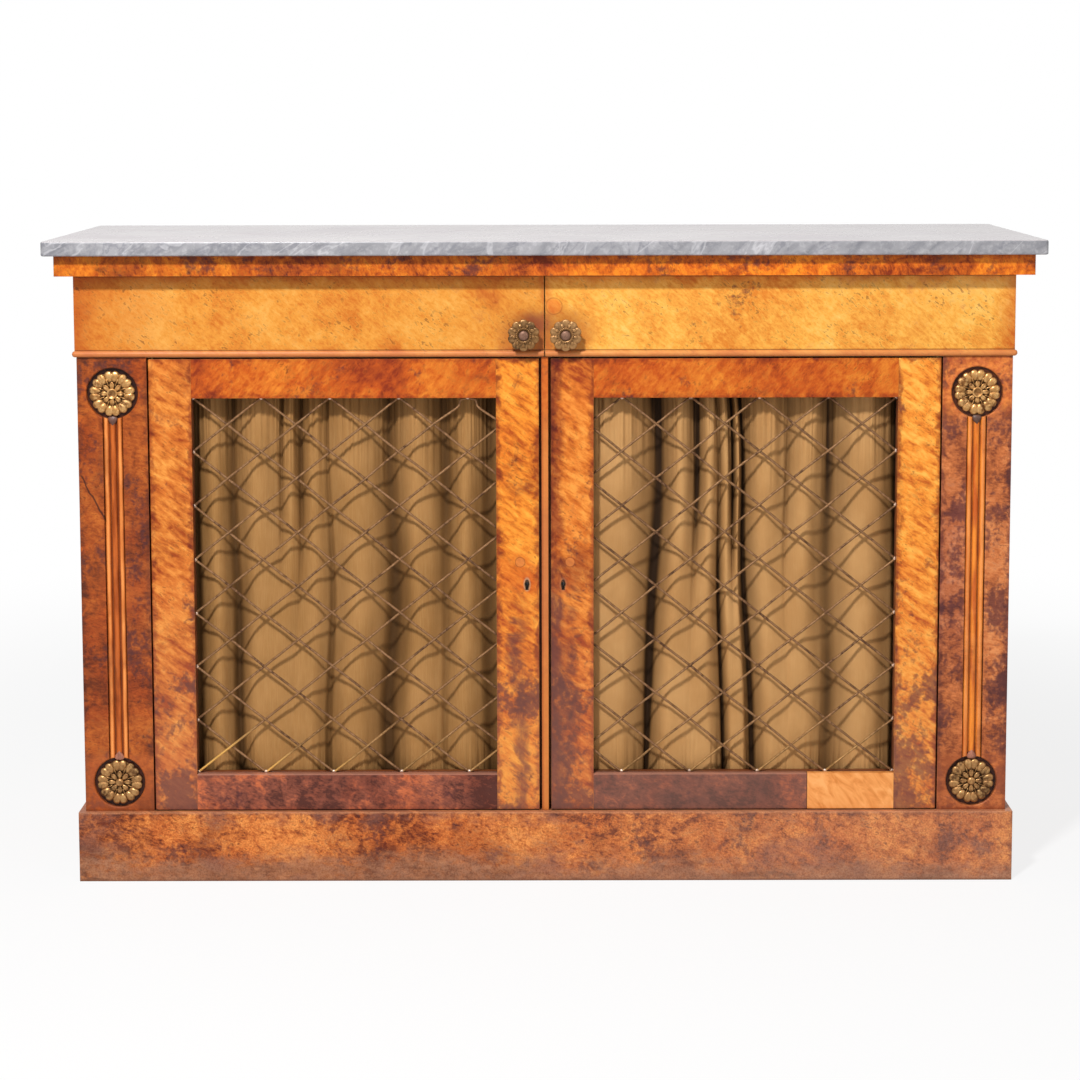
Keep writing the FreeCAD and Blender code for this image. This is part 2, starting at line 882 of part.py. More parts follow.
def pivot_sockets():
    """Brass plates let into the rail and the plinth, bored for the doors' pins."""
    pieces = []
    for side in (LEFT, RIGHT):
        for end in ("upper", "lower"):
            name = f"{SIDE_NAMES[side]}_{end}_socket_plate"
            low, high = socket_stretch(end)
            plate = pivot_plate(f"{name}_blank", side, (low, high))
            radius = size("pivot_pin_radius") + size("pivot_bore_gap")
            length = high - low + over * 2
            bore = rod(f"{name}_bore", radius, length, UP, pivot_x * side, pivot_y, low - over)
            pieces.append(cut(name, plate, bore))
    keep(grouped("pivot_sockets", *pieces), "pivot_sockets")


def door_pivots(side):
    """A door's two pivots: a plate let into each end, with a pin, and a collar that carries the door."""
    door = SIDE_NAMES[side]
    thickness = size("pivot_plate_thickness")
    reach = size("pivot_pin_reach")
    upper_plate = pivot_plate(f"{door}_upper_pivot_plate", side, (door_top - thickness, door_top))
    upper_length = rail_bottom + reach - door_top + thickness
    pin_radius = size("pivot_pin_radius")
    upper_pin = rod(
        f"{door}_upper_pin", pin_radius, upper_length, UP, pivot_x * side, pivot_y, door_top - thickness
    )
    lower_plate = pivot_plate(f"{door}_lower_pivot_plate", side, (door_bottom, door_bottom + thickness))
    lower_start = plinth_top - reach
    lower_length = door_bottom + thickness - lower_start
    lower_pin = rod(f"{door}_lower_pin", pin_radius, lower_length, UP, pivot_x * side, pivot_y, lower_start)
    collar_low = plinth_top + size("pivot_collar_gap")
    collar = rod(
        f"{door}_collar",
        size("pivot_collar_radius"),
        door_bottom + thickness - collar_low,
        UP,
        pivot_x * side,
        pivot_y,
        collar_low,
    )
    upper = fused(f"{door}_upper_pivot", upper_plate, upper_pin)
    lower = fused(f"{door}_lower_pivot", lower_plate, lower_pin, collar)
    keep(grouped(f"{door}_pivots", upper, lower), f"{door}_pivots")
    return upper_plate, lower_plate


def rebate(side, label):
    """The step round the window, from behind, that the trellis and its beads sit in."""
    x = across(side, *grown(window_x, size("rebate_width")))
    return board(label, x, (rebate_y, door_back + over), grown(window_z, size("rebate_width")))


def tenon_stretches():
    """Heights of the tenons of the lower and upper rail."""
    inset = size("tenon_inset")
    return {
        "bottom": (door_bottom + inset, window_z[0] - inset),
        "top": (window_z[1] + inset, door_top - inset),
    }


def tenons(side, name, x_stretch):
    """Tenons over a stretch along X, one for each rail."""
    middle = door_face + size("rebate_lip")
    half = size("tenon_thickness") / 2
    return {
        rail: board(f"{name}_{rail}_tenon", across(side, *x_stretch), (middle - half, middle + half), z)
        for rail, z in tenon_stretches().items()
    }


def keyhole_x():
    return door_inner + size("keyhole_inset")


def keyhole(label, side, y, grow):
    """A keyhole's shape: a round head over a slot, larger all round by a length."""
    x = keyhole_x() * side
    z = size("lock_height")
    slot_half = size("keyhole_slot_width") / 2 + grow
    head = rod(f"{label}_head", size("keyhole_radius") + grow, y[1] - y[0], FORWARD, x, y[1], z)
    slot_z = (z - size("keyhole_slot_drop") - grow, z)
    slot = board(f"{label}_slot", (x - slot_half, x + slot_half), y, slot_z)
    return fused(label, head, slot)


def lock_x():
    return door_inner + size("lock_edge_inset"), door_inner + size("lock_length")


def lock_stretches():
    z = size("lock_height")
    half = size("lock_width") / 2
    return (door_back - size("lock_thickness"), door_back), (z - half, z + half)


def bolt_y():
    middle = door_back - size("lock_thickness") / 2
    half = size("bolt_thickness") / 2
    return middle - half, middle + half


def bolt_space(label, side):
    """The way of the bolt through the lock's case and out of the stile's edge."""
    gap = size("bolt_gap")
    x_high = door_inner + size("bolt_length") + size("bolt_gap") * 2
    return board(label, across(side, door_inner - over, x_high), grown(bolt_y(), gap), grown(bolt_z(), gap))


def door_frame(side):
    """Stiles and rails, joined by tenons, rebated for the trellis and let out for pivots and lock."""
    door = SIDE_NAMES[side]
    face = (door_face, door_back)
    height = (door_bottom, door_top)
    length = size("tenon_length")
    upper_plate, lower_plate = door_pivots(side)

    name = f"{door}_hanging_stile"
    blank = board(f"{name}_blank", across(side, window_x[1], door_outer), face, height)
    mortises = tenons(side, f"{name}_mortise", (window_x[1] - over, window_x[1] + length))
    radius = size("door_edge_radius")
    corner = board(
        f"{name}_corner",
        across(side, door_outer - radius, door_outer + over),
        (door_face - over, door_face + radius),
        grown(height, over),
    )
    centre_x = (door_outer - radius) * side
    centre_y = door_face + radius
    full = door_top - door_bottom + over * 4
    kept = rod(f"{name}_round", radius, full, UP, centre_x, centre_y, door_bottom - over * 2)
    rounding = cut(f"{name}_rounding", corner, kept)
    collar_well = rod(
        f"{name}_collar_well",
        size("pivot_collar_radius"),
        size("pivot_plate_thickness") + over,
        UP,
        pivot_x * side,
        pivot_y,
        door_bottom - over,
    )
    step = rebate(side, f"{name}_rebate")
    tools = [*mortises.values(), rounding, step, upper_plate, lower_plate, collar_well]
    keep(cut(name, blank, *tools), name)

    name = f"{door}_meeting_stile"
    blank = board(f"{name}_blank", across(side, door_inner, window_x[0]), face, height)
    mortises = tenons(side, f"{name}_mortise", (window_x[0] - length, window_x[0] + over))
    lock_y, lock_z = lock_stretches()
    pocket_x = across(side, *lock_x())
    pocket = board(f"{name}_lock_pocket", pocket_x, (lock_y[0], lock_y[1] + over), lock_z)
    key_y = (door_face - over, door_back)
    hole = keyhole(f"{name}_keyhole", side, key_y, 0)
    lining_y = (door_face - over, door_face + size("keyhole_lining_depth"))
    lining_seat = keyhole(f"{name}_lining_seat", side, lining_y, size("keyhole_lining"))
    way = bolt_space(f"{name}_bolt_way", side)
    step = rebate(side, f"{name}_rebate")
    keep(cut(name, blank, *mortises.values(), pocket, hole, lining_seat, way, step), name)

    rail_heights = {"bottom": (door_bottom, window_z[0]), "top": (window_z[1], door_top)}
    long = tenons(side, f"{door}_rail", grown(window_x, length))
    for rail, z in rail_heights.items():
        name = f"{door}_{rail}_rail"
        blank = board(f"{name}_blank", across(side, *window_x), face, z)
        step = rebate(side, f"{name}_rebate")
        body = cut(f"{name}_body", blank, step)
        keep(fused(name, body, long[rail]), name)


def clipped_lozenges():
    """The trellis's gaps as flat faces in the XZ plane, cut off at the window's edges."""
    x_low, x_high = (edge.value for edge in window_x)
    z_low, z_high = (edge.value for edge in window_z)
    across_half = size("lozenge_width").value / 2
    up_half = (z_high - z_low) / size("lozenge_rows_count").value / 2
    wire_half = size("trellis_wire").value / 2
    edge_distance = across_half * up_half / math.hypot(across_half, up_half)
    open_share = 1 - wire_half / edge_distance
    cells = []
    columns = math.ceil((x_high - x_low) / across_half) + 1
    rows = math.ceil((z_high - z_low) / up_half) + 1
    for column in range(columns):
        for row in range(rows):
            if (column + row) % 2 == 0:
                continue
            x = x_high - column * across_half
            z = z_low + row * up_half
            points = [
                FreeCAD.Vector(x - across_half * open_share, 0, z),
                FreeCAD.Vector(x, 0, z + up_half * open_share),
                FreeCAD.Vector(x + across_half * open_share, 0, z),
                FreeCAD.Vector(x, 0, z - up_half * open_share),
            ]
            cells.append(Part.Face(Part.makePolygon(points + points[:1])))
    corners = [(x_low, z_low), (x_high, z_low), (x_high, z_high), (x_low, z_high)]
    points = [FreeCAD.Vector(x, 0, z) for x, z in corners]
    window = Part.Face(Part.makePolygon(points + points[:1]))
    least = size("lozenge_least_share").value * 2 * across_half * up_half
    gaps = []
    for cell in cells:
        gaps += [face for face in window.common(cell).Faces if face.Area > least]
    return gaps


def trellis(side):
    """The wire trellis as one pierced plate, seated in the rebate."""
    name = f"{SIDE_NAMES[side]}_trellis"
    reach = size("rebate_width").value - size("trellis_seat_gap").value
    x_low, x_high = window_x[0].value - reach, window_x[1].value + reach
    z_low, z_high = window_z[0].value - reach, window_z[1].value + reach
    corners = [(x_low, z_low), (x_high, z_low), (x_high, z_high), (x_low, z_high)]
    points = [FreeCAD.Vector(x, 0, z) for x, z in corners]
    outline = Part.makePolygon(points + points[:1])
    pierced = Part.Face([outline] + [gap.OuterWire for gap in clipped_lozenges()])
    pierced.validate()
    plate = pierced.extrude(FreeCAD.Vector(0, size("trellis_wire").value, 0))
    if side == LEFT:
        plate = plate.mirror(FreeCAD.Vector(), ALONG_X)
    made = doc.addObject("Part::Feature", name)
    made.Shape = plate
    place(made, 0, rebate_y, 0)
    keep(made, name)


def trellis_beads(side):
    """Four slips that hold the trellis in its rebate."""
    name = f"{SIDE_NAMES[side]}_trellis_beads"
    gap = size("trellis_seat_gap")
    y = (rebate_y + size("trellis_wire"), door_back)
    outer_x = grown(window_x, size("rebate_width") - gap)
    outer_z = grown(window_z, size("rebate_width") - gap)
    slips = {
        "inner": ((outer_x[0], window_x[0]), outer_z),
        "outer": ((window_x[1], outer_x[1]), outer_z),
        "bottom": (window_x, (outer_z[0], window_z[0])),
        "top": (window_x, (window_z[1], outer_z[1])),
    }
    pieces = [board(f"{name}_{which}", across(side, *x), y, z) for which, (x, z) in slips.items()]
    keep(grouped(name, *pieces), name)


def wave(z, x_low, x_high, shares, lean, depth, thickness, front):
    """One closed level section of the cloth: arcs that bulge by turns to the front and to the back."""
    total = sum(shares)
    width = x_high - x_low
    middle = front + depth / 2
    marks = [x_low]
    for share in shares:
        marks.append(marks[-1] + width * share / total)
    last = len(shares)
    for index in range(1, last):
        marks[index] += lean * width / last * math.sin(math.pi * index / last)
    deepest = (depth - thickness) / 2
    round_share = size("fold_round_share").value

    def run(shift, order):
        arcs = []
        for index in order:
            start, end = marks[index], marks[index + 1]
            bulge = min(deepest, (end - start) * round_share) * (1 if index % 2 else -1)
            points = [
                FreeCAD.Vector(start, middle + shift, z),
                FreeCAD.Vector((start + end) / 2, middle + shift + bulge, z),
                FreeCAD.Vector(end, middle + shift, z),
            ]
            arcs.append(points)
        return arcs

    half = thickness / 2
    edges = [Part.Arc(*points).toShape() for points in run(-half, range(last))]
    edges.append(
        Part.makeLine(FreeCAD.Vector(x_high, middle - half, z), FreeCAD.Vector(x_high, middle + half, z))
    )
    back_run = run(half, reversed(range(last)))
    edges += [Part.Arc(*reversed(points)).toShape() for points in back_run]
    edges.append(
        Part.makeLine(FreeCAD.Vector(x_low, middle + half, z), FreeCAD.Vector(x_low, middle - half, z))
    )
    return Part.Wire(edges)


def curtain(side):
    """Gathered cloth behind the trellis, with its main folds, and the two rods that it hangs between."""
    door = SIDE_NAMES[side]
    x_low = window_x[0].value - size("cloth_side_lap").value
    x_high = window_x[1].value + size("cloth_side_lap").value
    z_low = window_z[0].value - size("cloth_end_lap").value
    z_high = window_z[1].value + size("cloth_end_lap").value
    front = door_back.value + size("cloth_gap").value
    shares = LEFT_FOLD_SHARES if side == LEFT else RIGHT_FOLD_SHARES
    levels = len(FOLD_DEPTH_SHARES)
    depth = size("cloth_depth").value
    thickness = size("cloth_thickness").value
    sections = []
    for level, (depth_share, lean_share) in enumerate(zip(FOLD_DEPTH_SHARES, FOLD_LEAN_SHARES)):
        z = z_low + (z_high - z_low) * level / (levels - 1)
        own = depth * depth_share
        own_front = front + depth - own
        sections.append(wave(z, x_low, x_high, shares, lean_share, own, thickness, own_front))
    shape = Part.makeLoft(sections, True, True)
    if side == LEFT:
        shape = shape.mirror(FreeCAD.Vector(), ALONG_X)
    cloth = doc.addObject("Part::Feature", f"{door}_curtain")
    cloth.Shape = shape
    keep(cloth, f"{door}_curtain")

    radius = size("rod_radius")
    rod_y = door_back + size("cloth_gap") + size("cloth_depth") + size("rod_gap") + radius
    inset = size("rod_end_inset")
    lap = size("cloth_side_lap")
    rod_x = (window_x[0] - lap - inset, window_x[1] + lap + inset)
    holder = size("rod_holder_width")
    pieces = []
    for end, height in (
        ("lower", window_z[0] - size("cloth_end_lap") + radius * 2),
        ("upper", window_z[1] + size("cloth_end_lap") - radius * 2),
    ):
        name = f"{door}_{end}_rod"
        start = rod_x[0] if side == RIGHT else -rod_x[1]
        pieces.append(rod(name, radius, rod_x[1] - rod_x[0], ALONG_X, start, rod_y, height))
        holder_z = grown((height, height), radius + size("rod_holder_margin"))
        holder_y = (door_back, rod_y + radius + size("rod_holder_margin"))
        for which, x in (("inner", rod_x[0] - holder), ("outer", rod_x[1])):
            holder_x = across(side, x, x + holder)
            pieces.append(board(f"{name}_{which}_holder", holder_x, holder_y, holder_z))
    keep(grouped(f"{door}_curtain_rods", *pieces), f"{door}_curtain_rods")


def lock(side):
    """The lock in the back of the meeting stile, its sliding bolt, and the keyhole's brass lining."""
    door = SIDE_NAMES[side]
    y, z = lock_stretches()
    name = f"{door}_lock"
    case = board(f"{name}_case", across(side, *lock_x()), y, z)
    key_way = keyhole(f"{name}_key_way", side, (y[0] - over, (y[0] + y[1]) / 2), 0)
    keep(cut(name, case, key_way, bolt_space(f"{name}_bolt_space", side)), name)

    name = f"{door}_lock_bolt"
    x = across(side, door_inner + size("bolt_gap"), door_inner + size("bolt_length"))
    keep(board(name, x, bolt_y(), bolt_z()), name)

    name = f"{door}_keyhole_lining"
    lining_y = (door_face, door_face + size("keyhole_lining_depth"))
    blank = keyhole(f"{name}_blank", side, lining_y, size("keyhole_lining"))
    hole = keyhole(f"{name}_hole", side, grown(lining_y, over), 0)
    keep(cut(name, blank, hole), name)


def door(side):
    door_frame(side)
    trellis(side)
    trellis_beads(side)
    curtain(side)
    lock(side)


# Drawers. Their places, worked out once for the right-hand drawer

front_inner = size("drawer_middle_gap") / 2
knob_height = drawer_line + size("knob_rise")
drawer_top = cornice_bottom - size("drawer_gap")
box_x = (
    size("divider_thickness") / 2 + size("drawer_guide_gap"),
    inner_half - size("drawer_guide_gap"),
)
box_bottom = rail_top + size("drawer_run_gap")
box_top = box_bottom + size("drawer_side_height")
box_back = back_frame_face - size("drawer_rear_gap")
panel_z = (
    box_bottom + size("drawer_bottom_rise"),
    box_bottom + size("drawer_bottom_rise") + size("drawer_bottom_thickness"),
)


def drawer_front(side):
    """A thick front with a thin lip over the rail, and a half-round bead that turns the outer corner."""
    name = f"{SIDE_NAMES[side]}_drawer_front"
    slab = board(
        f"{name}_slab",
        across(side, front_inner, frieze_half),
        (frieze_face, drawer_front_back),
        (drawer_line, drawer_top),
    )
    radius = size("bead_radius")
    sunk = radius - size("bead_projection")
    bead_x = frieze_half - sunk
    bead_y = frieze_face + sunk
    bead_z = drawer_line + radius
    start = front_inner if side == RIGHT else -bead_x
    front_bead = rod(f"{name}_bead", radius, bead_x - front_inner, ALONG_X, start, bead_y, bead_z)
    end_x = bead_x * side
    end_length = drawer_front_back - bead_y
    end_bead = rod(f"{name}_end_bead", radius, end_length, FORWARD, end_x, drawer_front_back, bead_z)
    corner = ball(f"{name}_bead_corner", radius, end_x, bead_y, bead_z)
    blank = fused(f"{name}_blank", slab, front_bead, end_bead, corner)
    lip = size("drawer_lip")
    rail_rebate = board(
        f"{name}_rail_rebate",
        across(side, front_inner - over, carcase_half + size("drawer_lip_gap")),
        (frieze_face + lip, drawer_front_back + over),
        (drawer_line - over, rail_top + size("drawer_gap")),
    )
    laps = side_boards(side, f"{name}_lap")
    groove_x = (box_x[0] + size("drawer_side_thickness"), box_x[1] - size("drawer_side_thickness"))
    groove_y = (drawer_front_back - size("drawer_groove_depth"), drawer_front_back + over)
    groove = board(f"{name}_groove", across(side, *groove_x), groove_y, panel_z)
    screw_radius = size("knob_screw_radius") + size("knob_screw_gap")
    screw_length = drawer_front_back - frieze_face + over * 2
    screw_hole = rod(
        f"{name}_screw_hole",
        screw_radius,
        screw_length,
        FORWARD,
        size("knob_offset") * side,
        drawer_front_back + over,
        knob_height,
    )
    keep(cut(name, blank, rail_rebate, *laps, groove, screw_hole), name)


def side_boards(side, name):
    """The two sides of a drawer's box, lapped into its front."""
    thickness = size("drawer_side_thickness")
    y = (drawer_front_back - size("drawer_side_lap"), box_back)
    z = (box_bottom, box_top)
    stretches = {"inner": (box_x[0], box_x[0] + thickness), "outer": (box_x[1] - thickness, box_x[1])}
    z_front = (rail_top + size("drawer_gap"), box_top)
    pieces = []
    for which, x in stretches.items():
        lap = board(f"{name}_{which}_lap", across(side, *x), (y[0], drawer_front_back), z_front)
        length = board(f"{name}_{which}_length", across(side, *x), (drawer_front_back, y[1]), z)
        pieces.append(fused(f"{name}_{which}", lap, length))
    return pieces


def drawer_box(side):
    """Sides, back and bottom of a drawer, and the stops that it closes against."""
    drawer = SIDE_NAMES[side]
    thickness = size("drawer_side_thickness")
    groove = size("drawer_groove_depth")
    panel_x = (box_x[0] + thickness - groove, box_x[1] - thickness + groove)
    inside_x = (box_x[0] + thickness, box_x[1] - thickness)
    rear_y = (drawer_front_back, box_back)
    rear_panel = board(f"{drawer}_drawer_bottom_rear", across(side, *panel_x), rear_y, panel_z)
    nose_y = (drawer_front_back - groove, drawer_front_back)
    nose = board(f"{drawer}_drawer_bottom_nose", across(side, *inside_x), nose_y, panel_z)
    keep(fused(f"{drawer}_drawer_bottom", rear_panel, nose), f"{drawer}_drawer_bottom")
    name = f"{drawer}_drawer_box"
    channel = board(f"{name}_groove", across(side, *panel_x), (drawer_front_back, box_back + over), panel_z)
    pieces = [cut(f"{piece.Name}_grooved", piece, channel) for piece in side_boards(side, name)]
    back_y = (box_back - thickness, box_back)
    pieces.append(board(f"{name}_back", across(side, *inside_x), back_y, (panel_z[1], box_top)))
    keep(grouped(name, *pieces), name)


def drawer_stops():
    """Small blocks on the rail, just behind the drawer fronts."""
    start = drawer_front_back + size("drawer_stop_gap")
    inside_x = (box_x[0] + size("drawer_side_thickness"), box_x[1] - size("drawer_side_thickness"))
    width = size("stop_width")
    blocks = []
    for side in (LEFT, RIGHT):
        for which, low in (("inner", inside_x[0] + width), ("outer", inside_x[1] - width * 2)):
            x = across(side, low, low + width)
            y = (start, start + size("stop_length"))
            z = (rail_top, rail_top + size("stop_height"))
            blocks.append(board(f"{SIDE_NAMES[side]}_{which}_stop", x, y, z))
    keep(grouped("drawer_stops", *blocks), "drawer_stops")


def knob(side):
    """A cast rosette knob on a turned foot and neck, with its screw through the front to a round nut."""
    drawer = SIDE_NAMES[side]
    label = f"{drawer}_knob_casting"
    body = doc.addObject("PartDesign::Body", label)
    front_thickness = drawer_front_back - frieze_face
    screw_length = front_thickness + size("knob_nut_thickness") + size("knob_screw_overlength")
    foot = size("knob_foot_rise")
    neck_top = foot + size("knob_neck_rise")
    head_top = neck_top + size("knob_head_thickness")
    profile = [
        (0, -screw_length),
        (size("knob_screw_radius"), -screw_length),
        (size("knob_screw_radius"), 0),
        (size("knob_foot_radius"), 0),
        (size("knob_foot_radius"), foot),
        (size("knob_neck_radius"), foot * 2),
        (size("knob_neck_radius"), neck_top - foot),
        (size("knob_head_radius"), neck_top),
        (size("knob_head_radius"), head_top),
        (size("knob_boss_radius"), head_top),
        (size("knob_boss_radius") / 2, head_top + size("knob_boss_rise")),
        (0, head_top + size("knob_boss_rise")),
    ]
    sketch = body.newObject("Sketcher::SketchObject", f"{label}_profile")
    sketch.AttachmentSupport = (origin_plane(body, "XZ_Plane"), [""])
    sketch.MapMode = "FlatFace"
    draw_outline(sketch, profile)
    turning = body.newObject("PartDesign::Revolution", f"{label}_turning")
    turning.Profile = sketch
    turning.ReferenceAxis = (sketch, ["V_Axis"])
    turning.Angle = 360
    doc.recompute()
    petal_ring(
        body,
        f"{label}_head",
        size("knob_petal_radius"),
        size("knob_head_radius") - size("knob_petal_radius") / 4,
        neck_top,
        size("knob_head_thickness"),
        size("knob_petal_count"),
    )
    body.Placement = FreeCAD.Placement(FreeCAD.Vector(), turned(FORWARD))
    place(body, size("knob_offset") * side, frieze_face, knob_height)
    nut_face = drawer_front_back
    nut_blank = rod(
        f"{drawer}_knob_nut_blank",
        size("knob_nut_radius"),
        size("knob_nut_thickness"),
        FORWARD,
        size("knob_offset") * side,
        nut_face + size("knob_nut_thickness"),
        knob_height,
    )
    thread = rod(
        f"{drawer}_knob_nut_bore",
        size("knob_screw_radius"),
        size("knob_nut_thickness") + over * 2,
        FORWARD,
        size("knob_offset") * side,
        nut_face + size("knob_nut_thickness") + over,
        knob_height,
    )
    keep(grouped(f"{drawer}_knob", body, cut(f"{drawer}_knob_nut", nut_blank, thread)), f"{drawer}_knob")


def check_and_write():
    """Stops on any failed object, then writes each named part to its own file."""
    doc.recompute()
    for item in doc.Objects:
        if "Invalid" in item.State or "Error" in item.State:
            raise RuntimeError(f"{item.Label} failed: {item.State}")
    os.makedirs("parts", exist_ok=True)
    for piece in nodes:
        if piece.Shape.isNull() or not piece.Shape.isValid():
            raise RuntimeError(f"{piece.Label} has no valid shape")
        if not piece.Shape.Solids:
            raise RuntimeError(f"{piece.Label} has no solid")
        piece.Shape.exportStep(os.path.join("parts", f"{piece.Label}.step"))
    print(f"{len(nodes)} parts written")


marble()
carcase(cornice())
frieze_returns()
plinth()
back()
shelf()
post()
pivot_sockets()
rosettes()
drawer_stops()
for hand in (LEFT, RIGHT):
    pilaster(hand)
    door(hand)
    drawer_front(hand)
    drawer_box(hand)
    knob(hand)
check_and_write()
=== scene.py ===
# %% [markdown]
# A side cabinet with a marble top, two drawers and two doors of brass lattice over gathered cloth.
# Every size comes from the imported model, in metres. Its solids already have the right shape for the
# joinery, so this lesson gives them their finishes, and models again the things that need a softer
# or richer form: the cast rosettes and knobs, the woven lattice and the curtains.

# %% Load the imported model
import math

import bmesh
import bpy
import numpy
from mathutils import Matrix, Vector, noise


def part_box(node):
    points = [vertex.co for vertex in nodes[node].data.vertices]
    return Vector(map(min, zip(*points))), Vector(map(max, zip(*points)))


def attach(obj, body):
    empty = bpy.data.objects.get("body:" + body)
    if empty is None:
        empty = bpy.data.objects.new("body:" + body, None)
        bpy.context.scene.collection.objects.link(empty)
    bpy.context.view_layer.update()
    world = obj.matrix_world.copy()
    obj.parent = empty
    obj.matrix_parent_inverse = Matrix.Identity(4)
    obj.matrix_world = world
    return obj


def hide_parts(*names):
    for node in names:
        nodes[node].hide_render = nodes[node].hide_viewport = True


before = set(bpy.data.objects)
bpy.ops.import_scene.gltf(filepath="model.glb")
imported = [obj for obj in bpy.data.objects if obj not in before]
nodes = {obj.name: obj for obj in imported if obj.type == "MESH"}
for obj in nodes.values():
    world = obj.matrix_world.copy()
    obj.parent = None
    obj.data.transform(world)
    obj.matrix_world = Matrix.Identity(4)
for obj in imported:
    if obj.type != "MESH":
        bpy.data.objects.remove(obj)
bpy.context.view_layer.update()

# %% [markdown]
# The camera stands where the photographer stood: in front, a little above the marble, with a long
# lens. The photographer kept the back of the camera nearly upright and lowered the lens instead,
# which is what shift_y does. A shift keeps upright edges upright, where tilting would make them meet.

# %% Camera
camera_place = (0, -3.388, 1.1115)
look_down, lean = 5.488, -0.106
camera_data = bpy.data.cameras.new("camera")
camera_data.sensor_width, camera_data.lens = 36, 76.4
camera_data.shift_x, camera_data.shift_y = -0.0043, -0.2
camera = bpy.data.objects.new("camera", camera_data)
tilt = Matrix.Rotation(math.radians(90 - look_down), 4, "X")
roll = Matrix.Rotation(math.radians(lean), 4, "Z")
camera.matrix_world = Matrix.Translation(camera_place) @ tilt @ roll
bpy.context.scene.collection.objects.link(camera)
bpy.context.scene.camera = camera
bpy.context.scene.view_settings.view_transform = "Standard"
print("camera at", camera_place, "with a", round(camera_data.lens, 1), "mm lens")

# %% [markdown]
# A node reckons with the strength of light, while the code of a screen colour is spaced by how
# bright it looks. One helper turns such a code into what a node expects.

# %% Screen colours
def tint(code):
    """A screen colour such as #f1a145, as the linear colour that a node expects."""
    def linear(value):
        value /= 255
        return value / 12.92 if value <= 0.04045 else ((value + 0.055) / 1.055) ** 2.4
    return (*(linear(int(code[place:place + 2], 16)) for place in (1, 3, 5)), 1)


print("an orange of #f1a145 on screen is", [round(v, 3) for v in tint("#f1a145")], "to a node")

# %% [markdown]
# A material is a tree of nodes, and writing each link by hand hides the idea. The two classes below
# let a finish be written as a maker would say it: some clouds, some flecks along the grain, a ramp
# of colours. A Field is what one node gives, and it can be reckoned with like a number.

# %% Fields
class Field:
    """A number, a place or a colour that changes over a surface."""

    def __init__(self, recipe, socket):
        self.recipe, self.socket = recipe, socket

    def __add__(self, other):
        return self.recipe.sum("ADD", self, other)

    def __sub__(self, other):
        return self.recipe.sum("SUBTRACT", self, other)

    def __rsub__(self, other):
        return self.recipe.sum("SUBTRACT", other, self)

    def __mul__(self, other):
        return self.recipe.sum("MULTIPLY", self, other)

    def __abs__(self):
        return self.recipe.sum("ABSOLUTE", self)

    def most(self, other):
        return self.recipe.sum("MAXIMUM", self, other)

    def least(self, other):
        return self.recipe.sum("MINIMUM", self, other)

    def above(self, limit):
        return self.recipe.sum("GREATER_THAN", self, limit)

    def length(self):
        return self.recipe.step("ShaderNodeVectorMath", {0: self}, "Value", operation="LENGTH")

    def parts(self):
        """The x, y and z of a place."""
        split = self.recipe.node("ShaderNodeSeparateXYZ", {0: self})
        return [Field(self.recipe, socket) for socket in split.outputs]

    def laid(self, turn=0, along=1, shift=(0, 0, 0)):
        """A place turned in the front's plane, where a pattern runs so many times longer along the turn."""
        rotation, scale = (0, math.radians(turn), 0), (along, 1, 1)
        inputs = {"Vector": self, "Location": shift, "Rotation": rotation, "Scale": scale}
        return self.recipe.step("ShaderNodeMapping", inputs, vector_type="TEXTURE")

    def cloud(self, scale, detail=3, rough=0.5, twist=0):
        inputs = {"Vector": self, "Scale": scale, "Detail": detail, "Roughness": rough, "Distortion": twist}
        return self.recipe.step("ShaderNodeTexNoise", inputs)

    def between(self, low, high, first, last):
        """first up to low, last from high on, and a smooth change between."""
        inputs = {0: self, 1: low, 2: high, 3: first, 4: last}
        return self.recipe.step("ShaderNodeMapRange", inputs, interpolation_type="SMOOTHSTEP")

    def rising(self, low, high, most=1.0):
        return self.between(low, high, 0.0, most)

    def falling(self, low, high, most=1.0):
        return self.between(low, high, most, 0.0)

    def inside(self, low, high, soft):
        """1 where a value lies between two numbers, with soft ends."""
        return self.rising(low - soft, low + soft) * self.falling(high - soft, high + soft)

    def ramp(self, *stops):
        """Colours at places along a value from 0 to 1."""
        node = self.recipe.node("ShaderNodeValToRGB", {0: self})
        while len(node.color_ramp.elements) < len(stops):
            node.color_ramp.elements.new(0.5)
        for element, (position, colour) in zip(node.color_ramp.elements, stops):
            element.position = position
            element.color = tint(colour)
        return Field(self.recipe, node.outputs[0])

    def under(self, share, colour):
        """This colour with a share of another one laid over it."""
        return self.recipe.mixed(share, self, colour)

    def through(self, share, colour_filter):
        """This colour seen through a share of a filter, which keeps the figure that is under it."""
        return self.recipe.mixed(share, self, colour_filter, "MULTIPLY")


# %% [markdown]
# A Recipe holds the tree of one finish and makes its nodes. Patterns read Object coordinates, which
# are metres on this cabinet, so a scale of 100 gives marks of about a centimetre.

